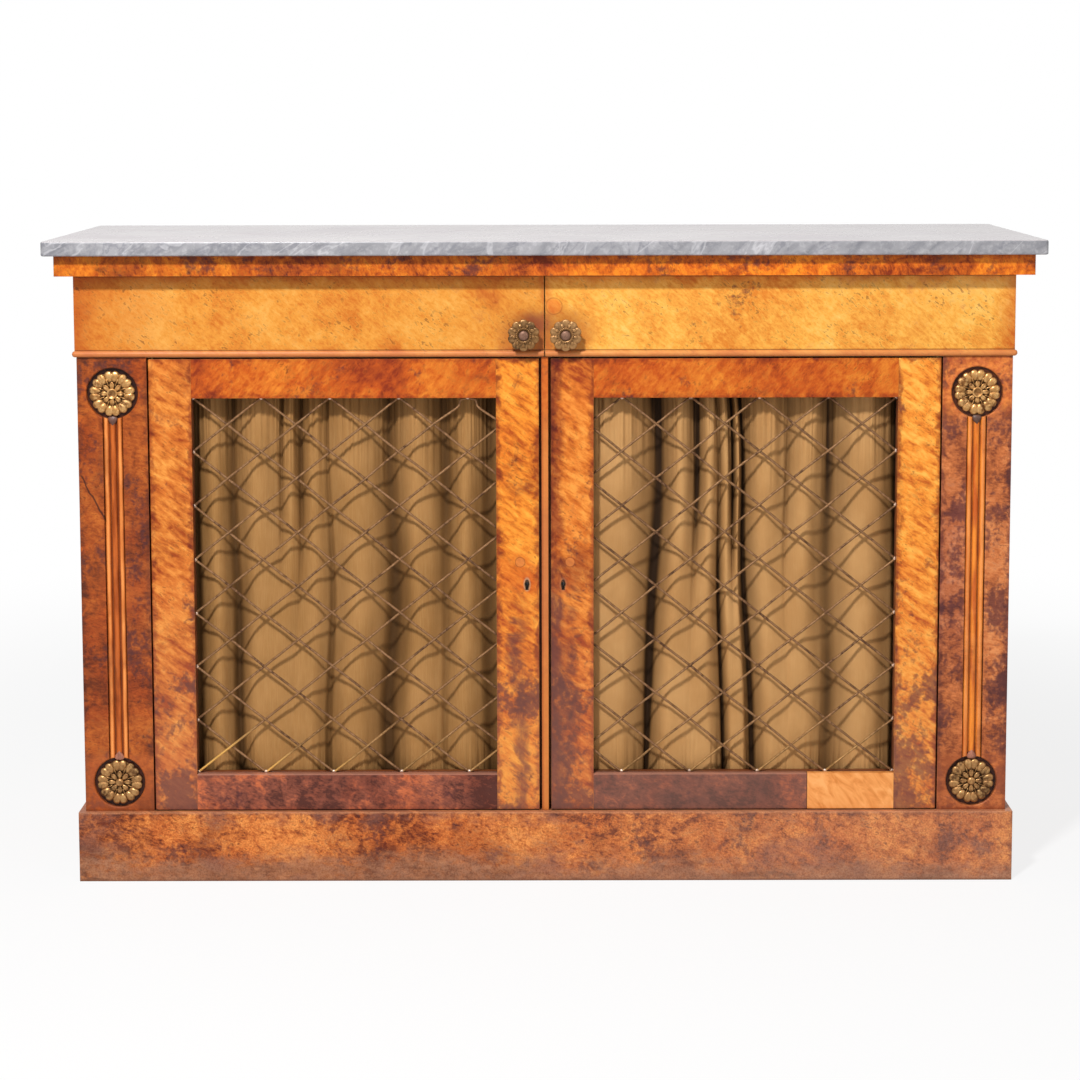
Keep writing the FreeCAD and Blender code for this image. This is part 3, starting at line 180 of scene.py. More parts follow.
# %% Recipes
class Recipe:
    """The node tree of one finish."""

    def __init__(self, name):
        self.material = bpy.data.materials.new(name)
        self.material.use_nodes = True
        self.nodes = self.material.node_tree.nodes
        self.links = self.material.node_tree.links
        self.nodes.clear()
        self.place = self.step("ShaderNodeTexCoord", {}, "Object")

    def node(self, kind, inputs, **settings):
        node = self.nodes.new(kind)
        for key, value in settings.items():
            setattr(node, key, value)
        for name, value in inputs.items():
            if isinstance(value, Field):
                self.links.new(value.socket, node.inputs[name])
            elif value is not None:
                node.inputs[name].default_value = tint(value) if isinstance(value, str) else value
        return node

    def step(self, kind, inputs, output=0, **settings):
        """One output of a new node."""
        return Field(self, self.node(kind, inputs, **settings).outputs[output])

    def sum(self, kind, first, second=0.0, clamp=False):
        return self.step("ShaderNodeMath", {0: first, 1: second}, operation=kind, use_clamp=clamp)

    def mixed(self, share, first, second, kind="MIX"):
        return self.step("ShaderNodeMix", {0: share, 6: first, 7: second}, 2, data_type="RGBA", blend_type=kind)

    def edge_normal(self, radius):
        return self.step("ShaderNodeBevel", {"Radius": radius}, samples=4)

    def edges(self, soft_normal):
        """1 at crisp edges, where the softened normal leaves the true one."""
        flat = self.step("ShaderNodeNewGeometry", {}, "True Normal")
        same = self.step("ShaderNodeVectorMath", {0: flat, 1: soft_normal}, "Value", operation="DOT_PRODUCT")
        return (1.0 - same).rising(0.02, 0.25)

    def hollows(self, distance):
        """1 deep in corners and hollows, 0 in the open."""
        inputs = {"Distance": distance}
        open_share = self.step("ShaderNodeAmbientOcclusion", inputs, "AO", samples=6, only_local=False)
        return self.sum("SUBTRACT", 1.0, open_share, clamp=True)

    def bumped(self, height, depth, normal=None):
        return self.step("ShaderNodeBump", {"Height": height, "Distance": depth, "Normal": normal, "Strength": 1.0})

    def done(self, colour, roughness, normal=None, **sockets):
        """Ends the recipe in the Principled shader. Its sockets are named with _ for a space."""
        inputs = {"Base Color": colour, "Roughness": roughness, "Normal": normal}
        inputs.update({key.replace("_", " "): value for key, value in sockets.items()})
        self.node("ShaderNodeOutputMaterial", {0: self.step("ShaderNodeBsdfPrincipled", inputs)})
        return self.material


def weighed(*layers):
    """Layers that swing about 0.5, each with its weight, laid over an even 0.5."""
    total = 0.5 - sum(weight for _, weight in layers) / 2
    for layer, weight in layers:
        total = layer.recipe.step("ShaderNodeMath", {0: layer, 1: weight, 2: total}, operation="MULTIPLY_ADD")
    return total


# %% [markdown]
# A studio for furniture is a white sweep and large soft lamps. The key light hangs high and a
# little to the left, as the shadows of the lattice on the cloth show, and a weaker one fills from
# the right. The background is white to the camera and in reflections, but lights the wood with
# only a part of that.

# %% Studio light
world = bpy.data.worlds.new("studio")
bpy.context.scene.world = world
world.use_nodes = True
world_nodes, world_links = world.node_tree.nodes, world.node_tree.links
background = world_nodes["Background"]
background.inputs["Color"].default_value = (1, 1, 1, 1)
ray = world_nodes.new("ShaderNodeLightPath")
seen = ray.outputs["Is Camera Ray"]
for kind in ("Is Glossy Ray", "Is Transmission Ray"):
    either = world_nodes.new("ShaderNodeMath")
    either.operation = "MAXIMUM"
    world_links.new(seen, either.inputs[0])
    world_links.new(ray.outputs[kind], either.inputs[1])
    seen = either.outputs[0]
brightness = world_nodes.new("ShaderNodeMapRange")
brightness.inputs["To Min"].default_value = 0.28
world_links.new(seen, brightness.inputs["Value"])
world_links.new(brightness.outputs[0], background.inputs["Strength"])


def lamp(name, place, size, power):
    """A square soft lamp that faces the middle of the cabinet."""
    data = bpy.data.lights.new(name, "AREA")
    data.size = size
    data.energy = power
    lit = bpy.data.objects.new(name, data)
    lit.location = place
    lit.rotation_mode = "QUATERNION"
    lit.rotation_quaternion = (Vector((0, 0, 0.5)) - Vector(place)).to_track_quat("-Z", "Y")
    bpy.context.scene.collection.objects.link(lit)
    print("lamp", name, "of", power, "W at", place)


lamp("key_lamp", (-0.85, -2.5, 3.0), 0.3, 122)
lamp("fill_lamp", (2.4, -3.0, 1.6), 2.0, 14)

# %% [markdown]
# The floor gives off white to the camera, the more so the further it lies from the cabinet, so that
# it melts into the background. The rest of it is plain and takes the cabinet's shadow.

# %% Floor
floor_finish = Recipe("floor_white")
lit_floor = floor_finish.step("ShaderNodeBsdfDiffuse", {"Color": (0.86, 0.86, 0.86, 1)})
white_floor = floor_finish.step("ShaderNodeEmission", {"Color": (1, 1, 1, 1), "Strength": 1.0})
to_camera = floor_finish.step("ShaderNodeLightPath", {}, "Is Camera Ray")
whitened = to_camera * floor_finish.place.length().between(0.9, 2.4, 0.82, 1.0)
both = floor_finish.step("ShaderNodeMixShader", {0: whitened, 1: lit_floor, 2: white_floor})
floor_finish.node("ShaderNodeOutputMaterial", {0: both})


def finished(name, bm, finish, smooth=True):
    """Turns a bmesh into an object at the origin that wears one finish."""
    mesh = bpy.data.meshes.new(name)
    bm.to_mesh(mesh)
    bm.free()
    mesh.materials.append(finish)
    for face in mesh.polygons:
        face.use_smooth = smooth
    piece = bpy.data.objects.new(name, mesh)
    bpy.context.scene.collection.objects.link(piece)
    return piece


floor_mesh = bmesh.new()
bmesh.ops.create_grid(floor_mesh, x_segments=1, y_segments=1, size=12)
floor = finished("floor", floor_mesh, floor_finish.material)

# %% [markdown]
# The top is a slab of pale grey marble. Its surface is soft clouds of grey on near white, and the
# sawn front edge, told from the top by which way a face looks, is painted darker grey with slanting
# veins. A vein can be had from a wave texture, but waves repeat. Here a vein is the thin line where a
# twisted noise crosses its middle value, which wanders as real ones do.

# %% Marble
def vein(place, scale, width, twist=1.5):
    """1 along thin wandering lines."""
    return abs(place.cloud(scale, 5, 0.55, twist) - 0.5).falling(0.0, width)


stone = Recipe("grey_marble")
grit = stone.place.cloud(160, 4, 0.6)
top_stops = (0.3, "#b8afb2"), (0.5, "#c1babb"), (0.7, "#c8c1c1")
top_colour = stone.place.cloud(6, 4, 0.5, 0.6).ramp(*top_stops)
top_colour = top_colour.under(vein(stone.place, 5, 0.02) * 0.06, "#a8a6aa")
slanted = stone.place.laid(turn=-38, along=2.6)
edge_stops = (0.3, "#737379"), (0.5, "#919094"), (0.7, "#a7a5a9")
edge_colour = slanted.cloud(22, 6, 0.6, 1.6).ramp(*edge_stops)
edge_colour = edge_colour.under(vein(slanted, 16, 0.03, 1.4) * 0.55, "#76767e")
edge_colour = edge_colour.under(vein(slanted, 9, 0.015) * 0.35, "#d6d4d7")
upward = stone.step("ShaderNodeNewGeometry", {}, "Normal").parts()[2]
# The edge is painted darker than the top, by which way each face looks.
stone_colour = edge_colour.under(upward.rising(0.4, 0.8), top_colour)
grit_share = grit.rising(0.45, 0.75) * upward.between(0.4, 0.8, 0.2, 0.06)
stone_colour = stone_colour.under(grit_share, "#ece9ea")
stone_soft = stone.edge_normal(0.0022)
stone_colour = stone_colour.under(stone.edges(stone_soft) * 0.55, "#e8e6e7")
stone_polish = stone.place.cloud(9, 6, 0.6, 0.8).between(0.3, 0.7, 0.25, 0.3)
stone_relief = stone.bumped(grit, 0.00004, stone_soft)
marble_finish = stone.done(stone_colour, stone_polish, stone_relief, Specular_IOR_Level=0.5)
print("marble has", len(stone.nodes), "nodes")

# %% [markdown]
# The case is veneered in burr and bird's-eye satinwood, polished long ago and darkened by hands.
# Such a figure is built in layers: large clouds of light and dark, a burr mottle of a centimetre
# or two, a slanting ripple, fine grain, dark specks in clusters, and stains where the polish has
# gone purple-brown. One function lays them all, and each part of the case says how much of each
# it has. Corners and hollows, which the Ambient Occlusion node finds, are painted darker, as dirt
# and as painted shade, and arrises wear, which the Bevel node finds. Dirt also creeps in from the
# outline of each board, so the finish of a board may be told where its edges are.

# %% Veneer
def filter_to(colour, middle):
    """The filter through which the middle colour of a veneer turns into another."""
    return (*(min(part / whole, 1) for part, whole in zip(tint(colour)[:3], tint(middle)[:3])), 1)


def border(wood, box, ragged, width):
    """1 at the outline of a board's front, falling to 0 a ragged width inside it."""
    (low_x, _, low_z), (high_x, _, high_z) = box
    x, _, z = wood.place.parts()
    nearest = (x - low_x).least(high_x - x).least((z - low_z).least(high_z - z))
    return (nearest + (ragged - 0.5) * (width * 4)).falling(-0.1 * width, width)


def blotches(place, cover):
    """1 in dark spots of half a centimetre, which run together into blobs as cover rises from -0.1 to 0.1."""
    value = weighed((place.cloud(140, 3, 0.5, 0.2), 0.7), (place.cloud(15, 3, 0.5, 0.4), 1.2))
    return (value + cover).rising(0.55, 0.78)


def blackened(colour, share):
    """Old polish gone purple-brown, through which some of the figure still shows."""
    return colour.through(share, (0.3, 0.22, 0.4, 1)).under(share * 0.45, "#663a36")


def veneer(
    name, dark, middle, light, stain, stained=0.3, figure=(0.8, 0.9, 0.4, 0.35), turn=35, specks=0.6,
    blots=-0.1, red=0.5, dirt_and_shade=0.85, shift=(0, 0, 0), worn=None, box=None, rim=0.6, extra=None,
):
    """A figured veneer. figure weighs its clouds, mottle, ripple and grain. extra(wood, colour) paints on it."""
    wood = Recipe(name)
    x, y, z = wood.place.parts()
    leaf = wood.step("ShaderNodeCombineXYZ", {0: x + y, 1: 0.0, 2: z}).laid(shift=shift)
    clouds = leaf.cloud(6, 3, 0.5, 0.5)
    mottle = leaf.cloud(48, 5, 0.65, 0.7)
    ripple = leaf.laid(turn=turn, along=3.4).cloud(105, 3, 0.6, 0.3)
    grain = leaf.laid(turn=turn, along=2.2).cloud(260, 4, 0.65)
    mass = weighed(*zip((clouds, mottle, ripple, grain), figure))
    colour = mass.ramp((0.25, dark), (0.5, middle), (0.75, light))
    redder = weighed((leaf.cloud(11, 4, 0.6, 0.8), 1.0), (mottle, 0.3)).rising(0.44, 0.64, red)
    colour = colour.through(redder, (0.86, 0.62, 0.5, 1))
    patches = weighed((leaf.cloud(8, 6, 0.7, 0.9), 1.0), (mottle, 0.5), (grain, 0.35))
    first_stain = 0.64 - 0.26 * stained
    share = patches.rising(first_stain, first_stain + 0.26, 0.95)
    if box:
        share = share.most(border(wood, box, mottle, 0.009) * rim)
    colour = colour.through(share, filter_to(stain, middle))
    colour = blackened(colour, blotches(leaf, blots) * 0.85)
    clusters = leaf.cloud(22, 4, 0.65).between(0.44, 0.62, 0.03, 1.0)
    dots = leaf.laid(turn=turn, along=2.2).cloud(260, 3, 0.6, 0.2).rising(0.54, 0.63)
    pits = leaf.laid(turn=turn, along=2).cloud(560, 2).rising(0.6, 0.7, 0.35)
    colour = colour.through((clusters * dots).most(pits) * specks, (0.28, 0.18, 0.16, 1))
    if extra:
        colour = extra(wood, colour)
    soft = wood.edge_normal(0.0012)
    colour = colour.under(wood.edges(soft) * mottle.between(0.4, 0.6, 0.1, 0.7), worn or light)
    # Painted shade and dirt: corners and hollows darkened towards near black.
    colour = colour.under(wood.hollows(0.009).rising(0.35, 0.9, dirt_and_shade), "#1e0b05")
    pores = leaf.laid(turn=turn, along=6).cloud(700, 2)
    relief = wood.bumped(weighed((pores, 0.3), (mottle, 0.8)), 0.0002, soft)
    polish = weighed((clouds, 1.0), (grain, 0.6)).between(0.35, 0.65, 0.52, 0.38)
    return wood.done(colour, polish, relief, Specular_IOR_Level=0.22, Coat_Weight=0.06, Coat_Roughness=0.2)


# %% [markdown]
# The drawer fronts are the brightest wood, straight-laid bird's-eye satinwood with redder edges
# and a ring of dirt where hands have gone round the knobs. The frieze ends on the sides of the
# case are cut from the same wood. A helper measures how far a place is from a point of the front,
# so that a stain can be put where it is on the real one.

# %% Drawer veneer
def reach(recipe, x, z, both=True):
    """The distance from a point of the front in metres, on one side or on both sides of the middle."""
    own_x, _, own_z = recipe.place.parts()
    across = (abs(own_x) if both else own_x) - x
    return recipe.step("ShaderNodeCombineXYZ", {0: across, 2: own_z - z}).length()


def drawer_marks(wood, colour):
    """Redder margins, the pale bead, painted shadow lines above it and under the cornice, and the dirt about the knobs.
    """
    own_x, own_y, own_z = wood.place.parts()
    ragged = (wood.place.cloud(30, 4) - 0.5) * 0.03
    x, z = abs(own_x) + ragged, own_z + ragged
    front = own_y.falling(-0.1762, -0.1740)
    margin = z.rising(0.858, 0.874).most(z.falling(0.757, 0.770))
    margin = margin.most(x.rising(0.630, 0.668) * front).most(x.falling(0.0, 0.014))
    colour = colour.through(margin * 0.8, (0.72, 0.42, 0.3, 1))
    colour = colour.through(own_x.falling(-0.001, 0.001, 0.9), (0.81, 0.67, 0.54, 1))
    far_left = (own_x + ragged * 5).falling(-0.64, -0.46, 0.55)
    colour = colour.through(far_left * front, (0.78, 0.52, 0.4, 1))
    colour = colour.through(1.0 - front, (1.0, 0.78, 0.62, 1))
    handled = (reach(wood, 0.0295, 0.785) + ragged).falling(0.022, 0.05, 0.6)
    colour = colour.under(handled, "#aa5822")
    dirt = (reach(wood, -0.012, 0.803, both=False) + ragged).falling(0.006, 0.036, 0.8)
    colour = colour.under(dirt, "#84422c")
    ring = reach(wood, 0.0125, 0.828, both=False) + ragged * 0.25
    colour = colour.under(ring.falling(0.006, 0.013, 0.42), "#d86218")
    colour = colour.under(ring.inside(0.0102, 0.0116, 0.0008) * 0.5, "#8c3e16")
    colour = colour.under(own_z.falling(0.7656, 0.7662, 0.55), "#ce8250")
    # Painted shadow, with some dirt: thin dark lines in the quirk over the bead and under the cornice.
    line = own_z.inside(0.7658, 0.7672, 0.0005).most(own_z.rising(0.8692, 0.8712))
    return colour.under(line * 0.72, "#5c260e")


drawer_veneer = veneer(
    "drawer_veneer", "#d07a24", "#e8a543", "#f4c065", "#bc5a18",
    stained=0.34, figure=(0.9, 0.6, 0.4, 0.75), turn=40, specks=0.7, blots=-0.16, red=0.12, extra=drawer_marks,
)

# %% [markdown]
# The cornice and the plinth are burr veneer, mottled all over. The cornice is deep orange with
# red-brown clouds. The plinth has stood where floors were washed, so it is greyer and dirtier
# low down, and its top edge is worn pale.

# %% Cornice and plinth veneer
def cornice_marks(wood, colour):
    """The left half has darkened more than the right one."""
    return colour.through(wood.place.parts()[0].falling(-0.35, 0.35), (0.8, 0.83, 1.0, 1))


cornice_veneer = veneer(
    "cornice_veneer", "#7b2a06", "#cd6211", "#f89223", "#5e2006",
    stained=0.45, figure=(0.8, 1.2, 0.3, 0.7), turn=70, specks=0.8, blots=0.0, shift=(0.4, 0, 0.2),
    extra=cornice_marks,
)


def plinth_marks(wood, colour):
    """Floor dirt that rises in uneven clouds, and the pale wear along the top edge."""
    place = wood.place
    x, _, z = place.parts()
    drift = place.laid(along=3).cloud(12, 6, 0.65)
    fine = place.laid(along=1.6).cloud(110, 5, 0.7)
    height = z + ((drift - 0.5) * 0.14 + (fine - 0.5) * 0.05)
    grey = wood.mixed(place.laid(along=5).cloud(60, 5, 0.65), "#70422a", "#c4906e")
    grey = grey.through(fine.rising(0.42, 0.66, 0.7), (0.6, 0.48, 0.42, 1))
    colour = colour.under(height.falling(0.006, 0.05, 0.8), grey)
    scuffs = place.laid(along=6).cloud(70, 4, 0.6).rising(0.54, 0.68, 0.6)
    colour = colour.through(scuffs * z.between(0.0, 0.06, 1.0, 0.1), (0.4, 0.34, 0.34, 1))
    rubbed = (z + place.cloud(90, 3) * 0.006).rising(0.1005, 0.1035, 0.5)
    colour = colour.under(rubbed, "#de9668")
    stale = place.laid(along=2, shift=(0.3, 0, 0)).cloud(16, 5, 0.65).rising(0.52, 0.68, 0.5)
    colour = colour.under(stale, wood.mixed(drift, "#5c362e", "#aa7460"))
    colour = colour.under(x.rising(-0.2, 0.5, 0.2), "#be9682")
    colour = colour.through(place.cloud(400, 4, 0.65).rising(0.44, 0.62, 0.6), (0.6, 0.46, 0.4, 1))
    return colour.under(z.falling(0.0, 0.004, 0.6), "#784a30")


def board_box(name):
    """The lowest and highest corner of a solid, in the plain numbers that a finish needs."""
    return [list(corner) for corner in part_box(name)]


plinth_veneer = veneer(
    "plinth_veneer", "#703014", "#c87032", "#f09c4e", "#643026",
    stained=0.5, figure=(0.9, 1.3, 0.2, 1.1), turn=15, specks=0.9, blots=0.0, shift=(0, 0, 0.7),
    worn="#e2a878", box=board_box("plinth_front"), rim=0.5, extra=plinth_marks,
)

# %% [markdown]
# The doors are cross-banded. Their stiles have a slanting ripple, yellow-orange above and stained
# below, the top rails are redder, and the bottom rails have gone dark purple-brown. On the right
# one a length was replaced with new wood that never took that colour. Near the keyholes each
# meeting stile has a round wooden plug, where an older lock was.

# %% Marks on the stiles
plug_x, plug_z = 0.0355, 0.4625
keyhole_x, keyhole_z = 0.0257, 0.4305


def stile_marks(wood, colour):
    """Stains that grow towards the bottom, the round plug, the rubbed keyhole, and its hole painted black as shade."""
    x, _, z = wood.place.parts()
    out = abs(x)
    ragged = wood.place.laid(turn=35, along=2.2).cloud(24, 5, 0.65, 1.2) - 0.5
    low = (z + ragged).falling(0.08, 0.56, 0.95)
    right_one = x.above(0.0)
    far_right = right_one * out.rising(0.3, 0.5)
    colour = colour.through(low * far_right.between(0, 1, 0.5, 0.2), (0.86, 0.66, 0.62, 1))
    high = z + ragged * 0.4 - far_right * 0.06
    spots = blotches(wood.place, high.between(0.1, 0.5, 0.13, -0.16))
    colour = blackened(colour, spots * far_right.between(0, 1, 0.9, 0.78))
    broken = wood.place.laid(turn=90, along=2).cloud(60, 5, 0.65).between(0.36, 0.54, 0.5, 1.0)
    edge = (x + ragged * 0.05).falling(0.018, 0.030, 0.95) * right_one * broken
    reddened = colour.through(edge, (0.4, 0.24, 0.3, 1))
    colour = blackened(colour, edge).under((z + ragged * 0.2).rising(0.4, 0.47), reddened)
    middle = (out + ragged * 0.08).inside(0.026, 0.044, 0.008)
    middle = middle * (z + ragged * 0.6).falling(0.28, 0.46, 0.85)
    colour = blackened(colour, middle * broken)
    worked = (reach(wood, 0.042, 0.45) + ragged * 0.08).falling(0.012, 0.042, 0.65)
    colour = colour.through(worked * broken, wood.mixed(right_one, (0.8, 0.5, 0.4, 1), (0.4, 0.24, 0.35, 1)))
    colour = colour.under(z.falling(0.1, 0.5, 0.2), "#b07a64")
    plug = reach(wood, plug_x, plug_z)
    colour = colour.under(plug.falling(0.0056, 0.0072, 0.6), "#ce7a3c")
    colour = colour.under(plug.inside(0.0066, 0.0074, 0.0004) * 0.8, "#783616")
    colour = colour.through(reach(wood, keyhole_x, 0.431).falling(0.008, 0.024, 0.6), (0.8, 0.5, 0.4, 1))
    tall = wood.step("ShaderNodeCombineXYZ", {0: out - keyhole_x, 2: (z - keyhole_z) * 0.5})
    hole = tall.length()
    halo = hole.falling(0.0040, 0.0060) * right_one.between(0, 1, 0.8, 0.2)
    colour = colour.under(halo, "#b68a68")
    # Painted shade: the keyhole and its edge are painted black, as the dark inside the hole.
    return colour.under(hole.falling(0.0031, 0.0040, 0.92), "#180c08")


# %% [markdown]
# No two stiles have kept the same colour, so each has its own dark, middle and light tone. Every
# board is told its own outline, where the dirt creeps in.

# %% Stiles and top rails
stile_tones = {
    "left_hanging_stile": ("#98400e", "#ce762a", "#ea9c46"),
    "left_meeting_stile": ("#ac4c0c", "#e28424", "#f6a63c"),
    "right_hanging_stile": ("#b24e14", "#ec9030", "#fcb650"),
    "right_meeting_stile": ("#963a0c", "#ce7022", "#ec963e"),
}
board_veneer = {}
for name, tones in stile_tones.items():
    board_veneer[name] = veneer(
        f"{name}_veneer", *tones, "#873713",
        stained=0.3, figure=(0.8, 0.5, 1.2, 0.5), turn=35, specks=0.6, blots=-0.14,
        shift=(1.3 if "meeting" in name else 0.3, 0, 0.1), box=board_box(name), rim=0.8, extra=stile_marks,
    )
for name in ("left_top_rail", "right_top_rail"):
    board_veneer[name] = veneer(
        f"{name}_veneer", "#842c05", "#bd5611", "#d97f27", "#752306",
        stained=0.4, figure=(0.9, 0.7, 0.6, 0.6), turn=-50, specks=0.6, shift=(0.9, 0, 0.3),
        box=board_box(name), rim=0.5,
    )


# %% [markdown]
# Both bottom rails are cut from one finish, which tells the right one from the left by x, and the
# new length from the rest of it by where its joint is.

# %% Bottom rails
def new_length(wood, colour):
    """The replaced length at the right, with the dark line of its joint."""
    x, _, z = wood.place.parts()
    colour = colour.under(x.above(0.0) * 0.45, "#72564c")
    colour = colour.under(z.rising(0.1525, 0.1535, 0.6), "#b07c68")
    ripple = wood.place.laid(turn=50, along=3).cloud(80, 4, 0.6, 0.8)
    fresh = ripple.ramp((0.35, "#d8843e"), (0.5, "#ec9c54"), (0.65, "#f6ac66"))
    colour = colour.under(x.rising(0.3750, 0.3760), fresh)
    return colour.under(x.inside(0.3747, 0.3757, 0.0004), "#421e14")


bottom_rail_veneer = veneer(
    "bottom_rail_veneer", "#522920", "#904f3a", "#dc7a48", "#5e3735",
    stained=0.45, figure=(1.0, 1.0, 0.3, 0.8), turn=20, specks=0.7, shift=(0.2, 0, 0.9),
    worn="#c47846", extra=new_length,
)

# %% [markdown]
# The pilasters are the darkest front parts, red-brown with purple clouds. Their sunk reeds are
# painted orange, for polish rubbed off and as a painted highlight, with painted shade in the quirks
# between them and round the rosettes. The strip between the doors is a paler length of the same
# post, brown near its top.

# %% Pilaster veneer
rosette_x = 0.6112
rosette_heights = {"upper": 0.705, "lower": 0.143}
crack_x, crack_z = -0.6585, 0.5889


def pilaster_marks(wood, colour):
    """Orange reeds, partly painted highlight; painted shade in quirks and recesses; a crack at the left; a paler middle
    post.
    """
    place = wood.place
    x, _, z = place.parts()
    out = abs(x)
    reed = out - rosette_x
    lit = reed.inside(-0.0138, 0.0138, 0.0004) * z.inside(0.1775, 0.6705, 0.0015)
    side_reed = abs(reed).inside(0.0076, 0.0116, 0.0010)
    flow = place.laid(turn=90, along=7).cloud(130, 3)
    right_one = x.rising(-0.1, 0.1)
    orange = flow.ramp((0.35, "#d57a38"), (0.6, "#f0974e"))
    brown = flow.ramp((0.38, "#994513"), (0.6, "#c56425"))
    golden = flow.ramp((0.35, "#c45c1e"), (0.6, "#ee8c2e"))
    stripe = brown.under(right_one, golden).under(side_reed, orange)
    rubbed = place.laid(turn=90, along=3).cloud(22, 4, 0.6).between(0.36, 0.5, 0.45, 0.92)
    # Painted highlight and rubbed polish: the reeds are painted orange.
    colour = colour.under(lit * rubbed, stripe)
    # Painted shade: the quirks between the reeds are painted dark.
    quirk_shade = abs(reed).inside(0.0042, 0.0056, 0.0006)
    colour = colour.under(lit * quirk_shade * 0.75, "#541e0a")
    wander = (place.cloud(60, 3) - 0.5) * 0.006
    right, up = x - crack_x, z - crack_z
    off = right * 0.883 + up * 0.470 + wander
    on = right * 0.470 - up * 0.883
    crack = abs(off).falling(0.0004, 0.0020, 0.85) * on.inside(0.0, 0.075, 0.004)
    colour = colour.under(crack, "#34140c")
    high = (z + place.cloud(14) * 0.2).rising(0.7, 0.86)
    pale = wood.mixed(high, "#e28a42", "#c45a0a").through(flow, (0.75, 0.7, 0.6, 1))
    pale = pale.through(x.falling(-0.0035, -0.001, 0.6), (0.6, 0.35, 0.3, 1))
    colour = colour.under(out.falling(0.0088, 0.0092) * 0.8, pale)
    upper = (z + wander).rising(0.655, 0.7) * (right_one * 0.6)
    flecked = place.cloud(130, 4, 0.6).ramp((0.36, "#be541e"), (0.62, "#f08a36"))
    colour = colour.under(upper, flecked)
    grey = out.rising(0.6, 0.59) * (z + wander * 14).rising(0.25, 0.4, 0.6)
    colour = colour.through(grey * z.rising(0.6, 0.5), (0.7, 0.66, 1.0, 1))
    edge = out.between(0.618, 0.634, -0.2, 0.06) * z.falling(0.6, 0.65)
    spots = blotches(place.laid(shift=(0.3, 0, 0)), edge) * (right_one * 0.8)
    colour = blackened(colour, spots * (1.0 - lit))
    foot = (z + wander).falling(0.175, 0.19, 0.35) * out.rising(0.3, 0.4)
    colour = colour.under(foot, wood.mixed(flow, "#a04c24", "#ce703a"))
    # Painted shadow: the floor of each rosette's recess is painted nearly black.
    seats = [reach(wood, rosette_x, height) for height in rosette_heights.values()]
    seat = seats[0].least(seats[1])
    return colour.through(seat.falling(0.0355, 0.0366, 0.95), (0.08, 0.05, 0.04, 1))


pilaster_tones = {
    "pilaster_left": ("#64290c", "#9c4917", "#c26927", 0.0, 0.7),
    "pilaster_right": ("#813f22", "#c26e3b", "#e29258", 0.1, 0.2),
    "centre_post": ("#6e2e16", "#ad592a", "#d77a3c", -0.1, 0.5),
}
for name, (dark, middle, light, blots, red) in pilaster_tones.items():
    board_veneer[name] = veneer(
        f"{name}_veneer", dark, middle, light, "#6a322a",
        stained=0.35, figure=(1.0, 0.9, 0.2, 0.8), turn=10, specks=0.7, blots=blots, red=red, dirt_and_shade=0.6,
        shift=(0.6, 0, 0.5), box=board_box(name), rim=0.7, extra=pilaster_marks,
    )
side_veneer = veneer(
    "side_veneer", "#964216", "#d0742c", "#f09844", "#7e361c",
    stained=0.35, figure=(0.8, 0.8, 0.5, 0.6), turn=-60, specks=0.65, shift=(0.15, 0, 0.65),
)

# %% [markdown]
# Under the veneer the case is pine, and so are the back, the shelf and the rails. Its boards are
# plain: straight grain from a noise stretched along the board, brown with age and dust. The drawer
# linings are a paler wood, cut thinner. The beads behind the lattice are stained strips.

# %% Inside woods
def plain_wood(name, dark, light, turn, scale=28, along=14, polish=0.62):
    """A straight-grained board whose grain runs along a turn in the front's plane."""
    wood = Recipe(name)
    x, y, z = wood.place.parts()
    leaf = wood.step("ShaderNodeCombineXYZ", {0: x + y * 0.35, 1: y, 2: z})
    grain = leaf.laid(turn=turn, along=along)
    mass = grain.cloud(scale, 4, 0.6, 0.4) * 0.7 + grain.cloud(scale * 9, 3, 0.6) * 0.3
    colour = mass.ramp((0.36, dark), (0.62, light))
    colour = colour.under(leaf.cloud(5, 5, 0.6).rising(0.45, 0.72, 0.35), "#5c422e")
    # Painted shade and dust: corners and hollows darkened towards near black.
    colour = colour.under(wood.hollows(0.03).rising(0.3, 0.95, 0.65), "#261a12")
    return wood.done(colour, polish, wood.bumped(mass, 0.0003, wood.edge_normal(0.001)))


pine_level = plain_wood("pine_level", "#8a5c36", "#ba8858", 0)
pine_upright = plain_wood("pine_upright", "#805634", "#b08052", 90)
lining_wood = plain_wood("lining_wood", "#b08254", "#d6ac7a", 0, scale=40)
bead_wood = plain_wood("bead_wood", "#562812", "#86441e", 0, scale=60, polish=0.45)

# %% [markdown]
# The metals are all brass but they have aged apart. The cast rosettes keep some gilding on their
# high points and are brown in their hollows. The knobs are handled, so olive-brown with rubbed
# rims. The lattice wires are dull with pale rubbed spots, and their surface has the fine twist of
# drawn wire. Hollows come from the Ambient Occlusion node, which tells how closed in a spot is.

